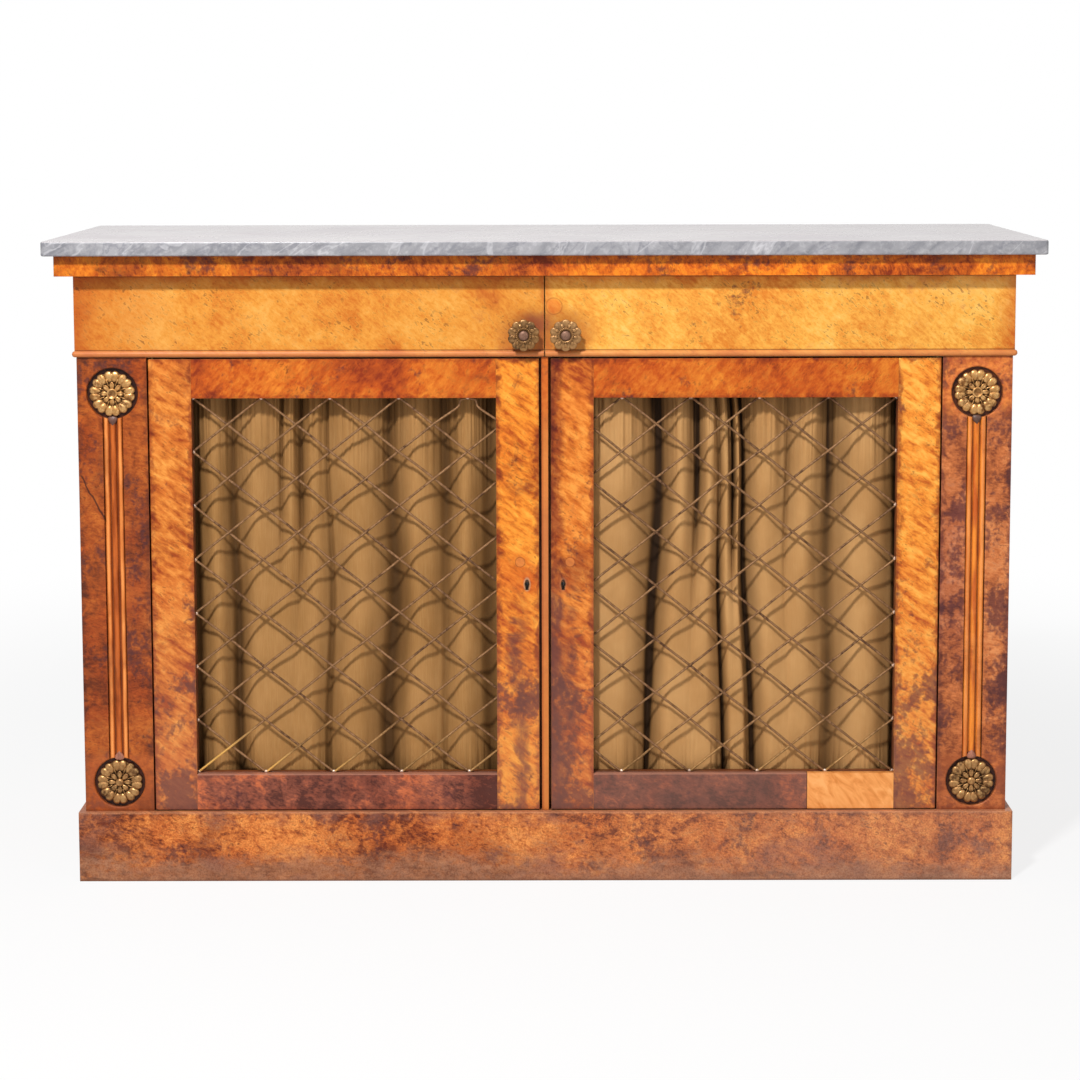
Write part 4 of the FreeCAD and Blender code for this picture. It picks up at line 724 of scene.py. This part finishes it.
# %% Metals
def aged_metal(
    name, bright, tone, dark, rubbed=0.35, depth=0.003, polish=(0.28, 0.55), twist=0.0, metallic=0.85, extra=None,
):
    """Worn metal: bright where it is rubbed, dark where dirt lies."""
    metal = Recipe(name)
    spots = metal.place.cloud(240, 4, 0.65)
    haze = metal.place.cloud(45, 4, 0.6, 0.5)
    colour = haze.ramp((0.38, dark), (0.5, tone), (0.66, tone)).under(spots.rising(0.42, 0.62) * rubbed, bright)
    if extra:
        colour = extra(metal, colour)
    grime = metal.mixed(0.6, dark, (0.01, 0.006, 0.003, 1))
    colour = colour.under(metal.hollows(depth).rising(0.28, 0.85, 0.92), grime)
    height = spots
    if twist:
        inputs = {"Vector": metal.place, "Scale": twist, "Distortion": 1.0}
        height = spots * 0.4 + metal.step("ShaderNodeTexWave", inputs, 1, bands_direction="Z")
    rough = (spots + haze).between(0.8, 1.2, polish[1], polish[0])
    return metal.done(colour, rough, metal.bumped(height, 0.00012, metal.edge_normal(0.0005)), Metallic=metallic)


# %% [markdown]
# Some marks belong to one place only: the dirt between the petals, the knob that is used most, and
# the gilding that is left on the lowest wires.

# %% Marks on the brass
def flower_dirt(height, centre):
    """Old polish lies between the petals of a rosette, and for some in the middle too."""
    def paint(metal, colour):
        off = reach(metal, rosette_x, height)
        dirt = off.inside(0.0138, 0.0168, 0.0012)
        if centre:
            dirt = dirt.most(off.falling(0.0046, 0.0054))
        return colour.through(dirt * 0.75, (0.3, 0.22, 0.14, 1))
    return paint


def handled_more(metal, colour):
    """The right knob is the one that hands have kept bright."""
    return colour.under(metal.place.parts()[0].rising(0.0, 0.01, 0.3), "#c49460")


def low_gilt(metal, colour):
    """The gilding that is left on the lowest wires, near the hinges of the left door."""
    x, _, z = metal.place.parts()
    low = (z + metal.place.cloud(12, 3) * 0.12).falling(0.21, 0.30, 0.85)
    return colour.under(low * x.between(-0.42, -0.2, 1.0, 0.25), "#ecb860")


# %% [markdown]
# Now each metal is a line: its bright, middle and dark tone, and how much of it is rubbed.

# %% Brass and steel
gilt_brass = aged_metal(
    "gilt_brass", "#e0b275", "#b38148", "#764a21", rubbed=0.6, depth=0.0045,
    metallic=0.7, extra=flower_dirt(rosette_heights["upper"], True),
)
dull_gilt = aged_metal(
    "dull_gilt", "#d4a86c", "#9c7042", "#5c3c1e", rubbed=0.4, depth=0.0045,
    metallic=0.7, extra=flower_dirt(rosette_heights["lower"], False),
)
knob_brass = aged_metal(
    "knob_brass", "#bc8d5b", "#805b31", "#4b3317", rubbed=0.3, depth=0.005,
    metallic=0.6, extra=handled_more,
)
drawn = {"twist": 260, "polish": (0.5, 0.7), "metallic": 0.5}
wire_brass = aged_metal("wire_brass", "#b38760", "#805c3a", "#54351d", **drawn)
wire_gilt = aged_metal("wire_gilt", "#b38960", "#7e5a37", "#54351d", **drawn, extra=low_gilt)
# Painted highlight: the bent ends of the wires are painted near white, as the glint they catch.
wire_tip_glint = aged_metal("wire_tip_glint", "#f0d8c6", "#ccaa90", "#826046", rubbed=0.7, metallic=0.5)
hinge_brass = aged_metal("hinge_brass", "#dcb674", "#aa8046", "#684824")
rod_brass = aged_metal("rod_brass", "#dcb878", "#b0884e", "#70502a")
keyhole_brass = aged_metal(
    "keyhole_brass", "#6e4c28", "#301c0e", "#180e08", rubbed=0.15, metallic=0.5
)
lock_steel = aged_metal("lock_steel", "#bebcb8", "#848280", "#544e48")
print("metals and woods:", len(bpy.data.materials), "finishes so far")

# %% [markdown]
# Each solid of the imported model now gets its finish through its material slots. Its mesh is never
# touched, so it stays where the joints expect it.

# %% Dress the solids
def dress(finish, *names):
    for name in names:
        solid = nodes[name]
        if not solid.material_slots:
            solid.data.materials.append(finish)
        for slot in solid.material_slots:
            slot.material = finish


dress(marble_finish, "marble_top")
dress(cornice_veneer, "cornice_front", "cornice_returns")
dress(side_veneer, "side_left", "side_right")
dress(drawer_veneer, "frieze_returns", "left_drawer_front", "right_drawer_front")
dress(plinth_veneer, "plinth_front", "plinth_sides")
for name, finish in board_veneer.items():
    dress(finish, name)
dress(pine_level, "top_board", "top_rail", "drawer_rail", "dust_board", "bottom_board", "shelf")
dress(pine_level, "back_rails", "plinth_back")
dress(pine_upright, "drawer_divider", "drawer_stops", "shelf_bearers", "back_panels", "back_stiles", "plinth_blocks")
dress(hinge_brass, "pivot_sockets")
dress(gilt_brass, "upper_rosettes")
dress(dull_gilt, "lower_rosettes")
for side in ("left", "right"):
    dress(bottom_rail_veneer, f"{side}_bottom_rail")
    dress(wire_brass, f"{side}_trellis")
    dress(bead_wood, f"{side}_trellis_beads")
    dress(rod_brass, f"{side}_curtain_rods")
    dress(hinge_brass, f"{side}_pivots")
    dress(lock_steel, f"{side}_lock", f"{side}_lock_bolt")
    dress(keyhole_brass, f"{side}_keyhole_lining")
    dress(lining_wood, f"{side}_drawer_box", f"{side}_drawer_bottom")
    dress(knob_brass, f"{side}_knob")

# %% [markdown]
# The rosettes are cast brass: eight petals, each with two round lobes and a rib, a ring of eight
# small leaves over them, and a boss. A petal could be modelled face by face, but a stretched ball
# is already a good petal once its inner end is pinched, its middle is grooved and its tip curls.
# One petal is made, and spin with use_duplicate sets copies of it round the centre. The back plate
# is a profile turned by a full spin, with use_merge to close its seam.

# %% Cast petals
def shaped_petal(bm, ring_radius, length, width, rise, base, turn=0.0, pinch=0.45, groove=0.25, curl=0.0):
    """A petal that points outwards in a flower that faces up, with its middle at the ring radius."""
    ball = bmesh.ops.create_uvsphere(bm, u_segments=16, v_segments=10, radius=1)["verts"]
    for vert in ball:
        x, y, z = vert.co
        out = (y + 1) / 2
        x *= 1 - pinch * (1 - out) ** 1.5
        z = z * 0.5 if z < 0 else z - groove * z * math.exp(-((x / 0.3) ** 2)) * out
        vert.co = (x * width / 2, y * length / 2 + ring_radius, z * rise + base + curl * rise * out * out)
    bmesh.ops.rotate(bm, verts=ball, cent=(0, 0, 0), matrix=Matrix.Rotation(turn, 3, "Z"))
    return ball


def set_round(bm, verts, count):
    """Copies a part of the flower until there are count of it, evenly round the centre."""
    around = set(verts)
    geom = list(around) + [e for e in bm.edges if e.verts[0] in around and e.verts[1] in around]
    geom += [f for f in bm.faces if all(v in around for v in f.verts)]
    angle = math.tau * (count - 1) / count
    bmesh.ops.spin(
        bm, geom=geom, cent=(0, 0, 0), axis=(0, 0, 1), angle=angle, steps=count - 1, use_duplicate=True
    )


def turned_part(bm, profile, steps=48):
    """A closed turning about the flower's axis, from (radius, height) points that start and end on it."""
    points = [bm.verts.new((radius, 0, height)) for radius, height in profile]
    line = [bm.edges.new(pair) for pair in zip(points, points[1:])]
    bmesh.ops.spin(
        bm, geom=points + line, cent=(0, 0, 0), axis=(0, 0, 1), angle=math.tau, steps=steps, use_merge=True
    )
    bmesh.ops.remove_doubles(bm, verts=bm.verts, dist=0.000002)


def facing_front(bm, x, y, z):
    """Turns a flower that faces up to face the front, and moves its back to a place."""
    bmesh.ops.recalc_face_normals(bm, faces=bm.faces)
    placed = Matrix.Translation((x, y, z)) @ Matrix.Rotation(math.radians(90), 4, "X")
    bmesh.ops.transform(bm, matrix=placed, verts=bm.verts)


def joined(parts):
    """Several bmeshes as one."""
    whole = bmesh.new()
    for part in parts:
        mesh = bpy.data.meshes.new("part")
        part.to_mesh(mesh)
        part.free()
        whole.from_mesh(mesh)
        bpy.data.meshes.remove(mesh)
    return whole


# %% [markdown]
# The upper pair has a flat dark centre inside a ring, and the lower pair a small bright boss, which
# is all that differs. Each sits on the floor of its round recess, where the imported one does.

# %% Rosettes
rosette_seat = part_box("upper_rosettes")[1].y
plate = [(0, 0), (0.0292, 0), (0.0300, 0.0012), (0.0280, 0.0026), (0.0225, 0.0018), (0.0105, 0.0018), (0, 0.0020)]
small_boss = [(0, 0.003), (0.0056, 0.003), (0.0060, 0.0058), (0.0048, 0.0078), (0.0024, 0.0086), (0, 0.0088)]
flat_ring = [
    (0, 0.003), (0.0070, 0.003), (0.0078, 0.0058), (0.0072, 0.0074), (0.0060, 0.0074), (0.0052, 0.0060), (0, 0.0056),
]


def rosette(x, z, boss):
    bm = bmesh.new()
    turned_part(bm, plate)
    lobes = []
    for way in (-1, 1):
        lobes += shaped_petal(bm, 0.0242, 0.0168, 0.0140, 0.0046, 0.0024, way * math.radians(9.9), 0.4, 0.25, 0.15)
    set_round(bm, lobes, 8)
    rib = shaped_petal(bm, 0.0172, 0.0150, 0.0030, 0.0036, 0.0020, math.radians(22.5), 0.1, 0.0, 0.0)
    set_round(bm, rib, 8)
    tongue = shaped_petal(bm, 0.0168, 0.0130, 0.0026, 0.0022, 0.0018, 0, 0.3, 0.0, 0.3)
    set_round(bm, tongue, 8)
    leaf = shaped_petal(bm, 0.0108, 0.0118, 0.0086, 0.0026, 0.0038, 0, 0.5, 0.7, 0.35)
    set_round(bm, leaf, 8)
    if boss:
        turned_part(bm, small_boss, 24)
    else:
        turned_part(bm, flat_ring, 32)
    facing_front(bm, x, rosette_seat, z)
    return bm


for which, finish in (("upper", gilt_brass), ("lower", dull_gilt)):
    z = rosette_heights[which]
    pair = joined([rosette(way * rosette_x, z, which == "lower") for way in (-1, 1)])
    piece = finished(f"{which}_rosettes_cast", pair, finish)
    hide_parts(f"{which}_rosettes")
    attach(piece, "cabinet")
    print(piece.name, len(piece.data.polygons), "faces")

# %% [markdown]
# The knobs are smaller flowers on a turned stalk, held by a screw and a round nut behind the
# drawer front. Handling has rubbed the petals' rims. A beaded ring stands round a flat button.

# %% Knobs
knob_x, drawer_face = 0.0295, -0.1775
stalk = [
    (0.003, 0), (0.0108, 0), (0.0112, 0.0012), (0.0100, 0.0030), (0.0066, 0.0046), (0.0058, 0.0078), (0.0064, 0.0108),
    (0.0094, 0.0130), (0.0150, 0.0142), (0.0208, 0.0152), (0.0206, 0.0166), (0.0120, 0.0180), (0, 0.0182),
]
rim = [(0, 0.017), (0.0112, 0.017), (0.0112, 0.0196), (0.0100, 0.0208), (0.0084, 0.0204), (0.0076, 0.0192), (0, 0.0190)]
button = [(0, 0.0188), (0.0068, 0.0188), (0.0071, 0.0206), (0.0062, 0.0220), (0.0040, 0.0228), (0, 0.0231)]
nut = [(0, 0), (0.0050, 0), (0.0055, 0.0006), (0.0055, 0.0034), (0.0050, 0.004), (0, 0.004)]
button_recipe = Recipe("knob_button")
button_spots = button_recipe.place.cloud(900, 3, 0.6)
button_colour = button_spots.ramp((0.35, "#624434"), (0.65, "#8e6854"))
button_finish = button_recipe.done(button_colour, button_spots.between(0.3, 0.7, 0.4, 0.6), Metallic=0.5)


def knob(x, z, back):
    """The whole knob with its screw and nut, but for the button."""
    bm = bmesh.new()
    screw = back - drawer_face
    turned_part(bm, [(0, -screw), (0.003, -screw), *stalk])
    petal = shaped_petal(bm, 0.0166, 0.0122, 0.0134, 0.0022, 0.0164, 0, 0.4, 0.5, 0.1)
    set_round(bm, petal, 10)
    inner = shaped_petal(bm, 0.0136, 0.0076, 0.0060, 0.0024, 0.0180, math.radians(20), 0.4, 0.5)
    set_round(bm, inner, 9)
    bead = bmesh.ops.create_uvsphere(bm, u_segments=8, v_segments=6, radius=0.0012)["verts"]
    bmesh.ops.translate(bm, verts=bead, vec=(0.0100, 0, 0.0210))
    set_round(bm, bead, 24)
    turned_part(bm, rim, 32)
    facing_front(bm, x, drawer_face, z)
    behind = bmesh.new()
    turned_part(behind, nut, 24)
    facing_front(behind, x, back - 0.003, z)
    return joined([bm, behind])


for side, way in (("left", -1), ("right", 1)):
    low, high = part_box(f"{side}_knob")
    x, z = way * knob_x, (low.z + high.z) / 2
    cast = finished(f"{side}_knob_cast", knob(x, z, high.y), knob_brass)
    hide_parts(f"{side}_knob")
    centre = bmesh.new()
    turned_part(centre, button, 32)
    facing_front(centre, x, drawer_face, z)
    for part in (cast, finished(f"{side}_knob_button", centre, button_finish)):
        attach(part, f"{side}_drawer")
    print(cast.name, len(cast.data.polygons), "faces, box", [round(v, 4) for v in (*low, *high)])

# %% [markdown]
# The lattice is drawn brass wire, woven over and under in lozenges that are wider than tall. Seven
# rows fill the height exactly, and their corners start at the hinge side. Counted in half lozenges
# from there, every crossing is a whole number.

# %% Paths of the wires
window_low, window_high = Vector((0.06905, 0, 0.1545)), Vector((0.49975, 0, 0.698))
steps_tall = 14
half_wide, half_tall = 0.0488, (window_high.z - window_low.z) / steps_tall
steps_wide = (window_high.x - window_low.x) / half_wide
wire_radius, wire_swing = 0.00175, 0.0013


def wire_points(across, step):
    """Points of one wire as (u, v, lift), with u and v in half lozenges from the hinge-side top corner."""
    first = max(0, -across if step > 0 else across - steps_wide)
    last = min(steps_tall, steps_wide - across if step > 0 else across)
    if last - first < 0.05:
        return []
    crossings = [k for k in range(steps_tall + 1) if first + 0.01 < k < last - 0.01]
    points = [(across + step * k, k, step * (-1 if k % 2 else 1)) for k in crossings]
    return [(across + step * first, first, 0), *points, (across + step * last, last, 0)]


# %% [markdown]
# Each wire is a curve with a round section: its points are the crossings, moved forward and back by
# turns, and a spline bends the wire softly between them. The curve is made a mesh at the end, so
# that its place stays in its vertices.

# %% Woven lattice
def wires(side, way, runs, name, finish):
    """One set of wires of a door, as a single mesh."""
    curve = bpy.data.curves.new(name, "CURVE")
    curve.dimensions = "3D"
    curve.bevel_depth = wire_radius
    curve.bevel_resolution = 2
    curve.resolution_u = 4
    curve.use_fill_caps = True
    low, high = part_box(f"{side}_trellis")
    middle = (low.y + high.y) / 2
    for run in runs:
        if side == "left" and run[0][:2] == (8, 0):
            # The pair that meets at the top of the left window is twisted together before it parts.
            lean = 1 if run[1][0] > 8 else -1
            run = [(8, 0.05, 0), (8 + lean * 0.22, 0.08, 0), (8 + lean * 0.27, 0.36, 0), *run[1:]]
        dense = [run[0]]
        for here, after in zip(run, run[1:]):
            dense += [((here[0] + after[0]) / 2, (here[1] + after[1]) / 2, (here[2] + after[2]) / 2 * 0.6), after]
        line = curve.splines.new("NURBS")
        line.points.add(len(dense) - 1)
        for point, (u, v, lift) in zip(line.points, dense):
            u += 0.03 * noise.noise(Vector((u * 1.3, v * 1.3, way)))
            v += 0.03 * noise.noise(Vector((u * 1.1, v * 1.1, 5 + way))) * min(v, steps_tall - v, 1)
            point.co = (
                way * (window_high.x - u * half_wide), middle - wire_swing * lift, window_high.z - v * half_tall, 1
            )
        line.order_u = 3
        line.use_endpoint_u = True
    holder = bpy.data.objects.new(name, curve)
    bpy.context.scene.collection.objects.link(holder)
    drawn_wire = bpy.data.meshes.new_from_object(holder.evaluated_get(bpy.context.evaluated_depsgraph_get()))
    bm = bmesh.new()
    bm.from_mesh(drawn_wire)
    bpy.data.meshes.remove(drawn_wire)
    bpy.data.objects.remove(holder)
    bpy.data.curves.remove(curve)
    return finished(name, bm, finish)


def tips(side, way):
    """The bent ends of the wires where they meet the frame, painted pale as a painted highlight."""
    low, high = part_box(f"{side}_trellis")
    bm = bmesh.new()
    ends = [(u, v) for u in range(0, int(steps_wide) + 1, 2) for v in (0, steps_tall)]
    ends += [(0, v) for v in range(2, steps_tall, 2)]
    for u, v in ends:
        tip = bmesh.ops.create_uvsphere(bm, u_segments=10, v_segments=6, radius=1)["verts"]
        size = (0.0034, 0.0022, 0.0024) if v in (0, steps_tall) else (0.0024, 0.0022, 0.0032)
        bmesh.ops.scale(bm, verts=tip, vec=size)
        x, z = window_high.x - u * half_wide, window_high.z - v * half_tall
        x, z = min(x, window_high.x - 0.0012), min(max(z, window_low.z + 0.0012), window_high.z - 0.0012)
        bmesh.ops.translate(bm, verts=tip, vec=(way * x, (low.y + high.y) / 2, z))
    bmesh.ops.recalc_face_normals(bm, faces=bm.faces)
    return finished(f"{side}_wire_tips", bm, wire_tip_glint)


for side, way in (("left", -1), ("right", 1)):
    down = [run for m in range(-7, 5) if (run := wire_points(2 * m, 1))]
    up = [run for m in range(12) if (run := wire_points(2 * m, -1))]
    rising, falling = (down, up) if side == "right" else (up, down)
    made = [
        wires(side, way, rising, f"{side}_wires_rising", wire_gilt),
        wires(side, way, falling, f"{side}_wires_falling", wire_brass),
        tips(side, way),
    ]
    for piece in made:
        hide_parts(f"{side}_trellis")
        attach(piece, f"{side}_door")
        print(piece.name, len(piece.data.polygons), "faces")

# %% [markdown]
# Behind the lattice hangs gathered cloth, a plain silky cotton in khaki gold, drawn on two rods.
# Its threads are two crossed waves with thicker slubs among them. Every vertex will carry how deep
# in a fold it lies, and the cloth is painted darker there, as painted shade in the folds.

# %% Cloth
cloth_tones = {"left": ("#b68650", "#a67844"), "right": ("#ce9c63", "#be8c55")}
hollow_shade = {"left": (0.68, 0.98, 0.5), "right": (0.64, 0.88, 0.93)}
cloth_height = (0.1425, 0.710)
cloth_length = cloth_height[1] - cloth_height[0]


def cloth_finish(side):
    """Woven cotton with a slight sheen. Its threads follow the cloth's own UV map, in metres."""
    cloth = Recipe(f"{side}_cloth")
    threads = cloth.step("ShaderNodeUVMap", {}, uv_map="cloth")
    ways = []
    for scale, way in ((330, "X"), (300, "Y")):
        inputs = {"Vector": threads, "Scale": scale, "Distortion": 0.6, "Detail": 1}
        ways.append(cloth.step("ShaderNodeTexWave", inputs, 1, bands_direction=way))
    weave = ways[0] * ways[1]
    slubs = cloth.step("ShaderNodeMapping", {"Vector": threads, "Scale": (1, 0.06, 1)}).cloud(420, 3, 0.6)
    pale, deep = cloth_tones[side]
    colour = cloth.mixed(threads.cloud(6, 4, 0.6).rising(0.35, 0.65), deep, pale)
    colour = colour.under(slubs.rising(0.4, 0.7, 0.12), "#e2ba80")
    colour = colour.under(weave.falling(0.0, 0.3, 0.25), "#604222")
    depth = cloth.step("ShaderNodeAttribute", {}, "Fac", attribute_name="depth")
    # Painted shade: darker brown the deeper in a fold, near black in the deepest hollows.
    colour = colour.under(depth.rising(0.02, 0.8, 0.8), "#4e3216")
    colour = colour.under(depth.rising(*hollow_shade[side]), "#1a0d05")
    # Painted shade where folds, rods and frame close the cloth in.
    colour = colour.under(cloth.hollows(0.05).rising(0.5, 0.95, 0.5), "#28180a")
    sheen = {"Specular_IOR_Level": 0.12, "Sheen_Weight": 0.12, "Sheen_Tint": "#d6a064"}
    relief = cloth.bumped(weave + slubs * 0.6, 0.00012)
    return cloth.done(colour, slubs.between(0.3, 0.7, 0.6, 0.78), relief, **sheen)


# %% [markdown]
# The folds fall the whole height, so a simulation has little to add and would lose their places,
# which the photograph shows. Instead a fine grid is laid in folds: rounded ridges with hollows
# between them, each of its own width and depth, which change from top to bottom. Some hollows begin
# at the rod and die out half way down. The line is then smoothed. Small pleats are pressed in near
# the rods, and a little noise keeps every fold from being alike.

# %% Folds
cloth_near, cloth_far = 0.05605, 0.51275
cloth_front, cloth_depth = -0.1525, 0.0217
crown, smoothings, woven_width = 0.55, 4, 0.7

# Widths of ridges and hollows by turns, from the meeting edge, at the top and at the bottom, then
# how deep each hollow is at the top and at the bottom.
folds = {
    "left": (
        (14, 54, 64, 44, 90, 43, 119, 16, 38, 24, 26, 16, 110, 30, 54, 42),
        (14, 48, 80, 20, 98, 54, 116, 24, 80, 6, 44, 6, 52, 30, 64, 48),
        (0.8, 0.85, 0.85, 0.5, 0.75, 0.55, 0.85, 0.8),
        (0.75, 0.5, 1.0, 0.75, 0.12, 0.0, 1.0, 0.8),
    ),
    "right": (
        (143, 64, 54, 26, 28, 10, 26, 10, 10, 12, 102, 20, 85, 35, 125, 32),
        (145, 18, 80, 6, 81, 15, 30, 3, 22, 25, 70, 5, 70, 55, 125, 32),
        (0.9, 1.0, 0.7, 1.0, 1.0, 0.6, 0.75, 0.9),
        (1.0, 0.1, 1.0, 0.0, 1.0, 0.12, 0.75, 0.9),
    ),
}


def eased(low, high, value):
    """0 at low, 1 at high, with a smooth change."""
    share = min(max((value - low) / (high - low), 0), 1)
    return share * share * (3 - 2 * share)


def fold_line(widths, depths, depth, count):
    """A level line through the cloth, as count points evenly along it: (x from the meeting edge, y from the front)."""
    line, x = [], 0.0
    scale = (cloth_far - cloth_near) / sum(widths)
    around = (0.0, *depths)
    for index, width in enumerate(widths):
        chord = width * scale
        for step in range(24):
            bow = math.sin(math.pi * step / 24) ** 1.6
            if index % 2:
                y = depths[index // 2] * (crown + (1 - crown) * bow)
            else:
                y = around[index // 2 + (step >= 12)] * crown * (1 - bow)
            line.append((x + chord * step / 24, depth * y))
        x += chord
    line.append((x, depth * depths[-1] * crown))
    line = numpy.array(line)
    lengths = numpy.append(0, numpy.hypot(*numpy.diff(line, axis=0).T).cumsum())
    goals = numpy.linspace(0, lengths[-1], count)
    even = numpy.column_stack([numpy.interp(goals, lengths, axis) for axis in line.T])
    for _ in range(smoothings):
        even[1:-1] = (even[:-2] + 2 * even[1:-1] + even[2:]) / 4
    return even.tolist()


def gathered_cloth(side, way, seed, columns=440, rows=64):
    top, bottom, top_depths, bottom_depths = folds[side]
    bm = bmesh.new()
    bmesh.ops.create_grid(bm, x_segments=columns, y_segments=rows, size=0.5)
    depth_of = bm.verts.layers.float.new("depth")
    by_row = {}
    for vert in bm.verts:
        by_row.setdefault(round((vert.co.y + 0.5) * rows), {})[round((vert.co.x + 0.5) * columns)] = vert
    for row, verts in by_row.items():
        level = row / rows
        widths = []
        for index, (at_top, at_bottom) in enumerate(zip(top, bottom)):
            sway = 1 + 0.2 * noise.noise(Vector((index * 1.7, level * 2.2, seed)))
            widths.append((at_bottom + (at_top - at_bottom) * level) * sway)
        fade = eased(0.3, 0.8, level)
        depths = [low + (high - low) * fade for high, low in zip(top_depths, bottom_depths)]
        depth = cloth_depth * (1 - 0.12 * level)
        near_rod = max(eased(0.68, 1.0, level) * 1.3, eased(0.16, 0.0, level) * 0.7)
        for column, (x, y) in enumerate(fold_line(widths, depths, depth, columns + 1)):
            run = column / columns
            pleat = noise.noise(Vector((run * 95, level * 1.2, seed + 5)))
            pleat += 0.6 * noise.noise(Vector((run * 210, level * 2, seed)))
            soft = noise.noise(Vector((run * 26, level * 3.5, seed + 9)))
            y += cloth_front + cloth_depth - depth + 0.003 * near_rod * pleat + 0.0024 * soft
            y = min(max(y, cloth_front + 0.0002), cloth_front + cloth_depth)
            verts[column].co = (way * (cloth_near + x), y, cloth_height[0] + cloth_length * level)
            verts[column][depth_of] = (y - cloth_front) / cloth_depth
    uv = bm.loops.layers.uv.new("cloth")
    place = {
        vert: (column / columns * woven_width, row / rows * cloth_length)
        for row, verts in by_row.items() for column, vert in verts.items()
    }
    for face in bm.faces:
        for loop in face.loops:
            loop[uv].uv = place[loop.vert]
    bmesh.ops.recalc_face_normals(bm, faces=bm.faces)
    return bm


for side, way, seed in (("left", -1, 3.1), ("right", 1, 8.7)):
    cloth_mesh = gathered_cloth(side, way, seed)
    flat_width = round(sum(face.calc_area() for face in cloth_mesh.faces) / cloth_length, 3)
    curtain = finished(f"{side}_cloth", cloth_mesh, cloth_finish(side))
    thickness = curtain.modifiers.new("thickness", "SOLIDIFY")
    thickness.thickness = 0.0006
    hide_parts(f"{side}_curtain")
    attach(curtain, f"{side}_door")
    print(curtain.name, "was cut", flat_width, "m wide for a door's", round(cloth_far - cloth_near, 3), "m")

# %% [markdown]
# At both ends of the middle reed of each pilaster a small bud is carved, next to the rosette, wide
# at the rosette and pointed at the other end. The upper ones have gone dark.

# %% Buds
bud_half_width, bud_rise, bud_half_length = 0.0108, 0.0038, 0.0078
bud_middle, bud_seat = 0.0395, -0.1727
bud_tones = {"upper": ("#3a221c", "#684234"), "lower": ("#784636", "#b8785e")}
bud_names = {"upper": "dark_bud_wood", "lower": "pale_bud_wood"}


def bud(bm, x, z, way):
    """A pointed drop whose wide end lies at the rosette, and whose point looks away from it."""
    verts = bmesh.ops.create_uvsphere(bm, u_segments=16, v_segments=10, radius=1)["verts"]
    for vert in verts:
        wide = bud_half_width * (0.08 + 0.92 * (vert.co.z + 1) / 2)
        vert.co = (vert.co.x * wide, vert.co.y * bud_rise, vert.co.z * bud_half_length * way)
    bmesh.ops.translate(bm, verts=verts, vec=(x, bud_seat, z))


for which, way in (("upper", 1), ("lower", -1)):
    buds = bmesh.new()
    for side in (-1, 1):
        bud(buds, side * rosette_x, rosette_heights[which] - way * bud_middle, way)
    bmesh.ops.recalc_face_normals(buds, faces=buds.faces)
    bud_wood = plain_wood(bud_names[which], *bud_tones[which], 90, scale=90, along=4, polish=0.45)
    bud_piece = finished(f"{which}_buds", buds, bud_wood)
    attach(bud_piece, "cabinet")

# %% [markdown]
# Behind the plinth a narrow gap is left in front of the bottom board, which nobody sees while the
# doors are shut. A pine lipping closes it and runs a little way under that board. Its upper edges
# are rounded over.

# %% Lipping
half_run, tuck, low_edge, high_edge = 0.5615, 0.012, 0.0162, 0.0002
plinth_back, board_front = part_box("plinth_front")[1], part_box("bottom_board")[0]
lipping_box = (
    (-half_run, plinth_back.y, plinth_back.z - low_edge),
    (half_run, board_front.y + tuck, plinth_back.z - high_edge),
)
strip = bmesh.new()
bmesh.ops.create_cube(strip, size=1)
for vert in strip.verts:
    vert.co = [lipping_box[1 if way > 0 else 0][axis] for axis, way in enumerate(vert.co)]
upper_edges = [edge for edge in strip.edges if all(vert.co.z > plinth_back.z - 0.001 for vert in edge.verts)]
bmesh.ops.bevel(
    strip, geom=upper_edges, offset=0.0006, segments=3, profile=0.5, affect="EDGES", material=-1
)
bmesh.ops.recalc_face_normals(strip, faces=strip.faces)
lipping = finished("bottom_lipping", strip, pine_level, smooth=False)
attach(lipping, "cabinet")
print("the lipping closes", round((board_front.y - plinth_back.y) * 1000, 1), "mm behind the plinth")
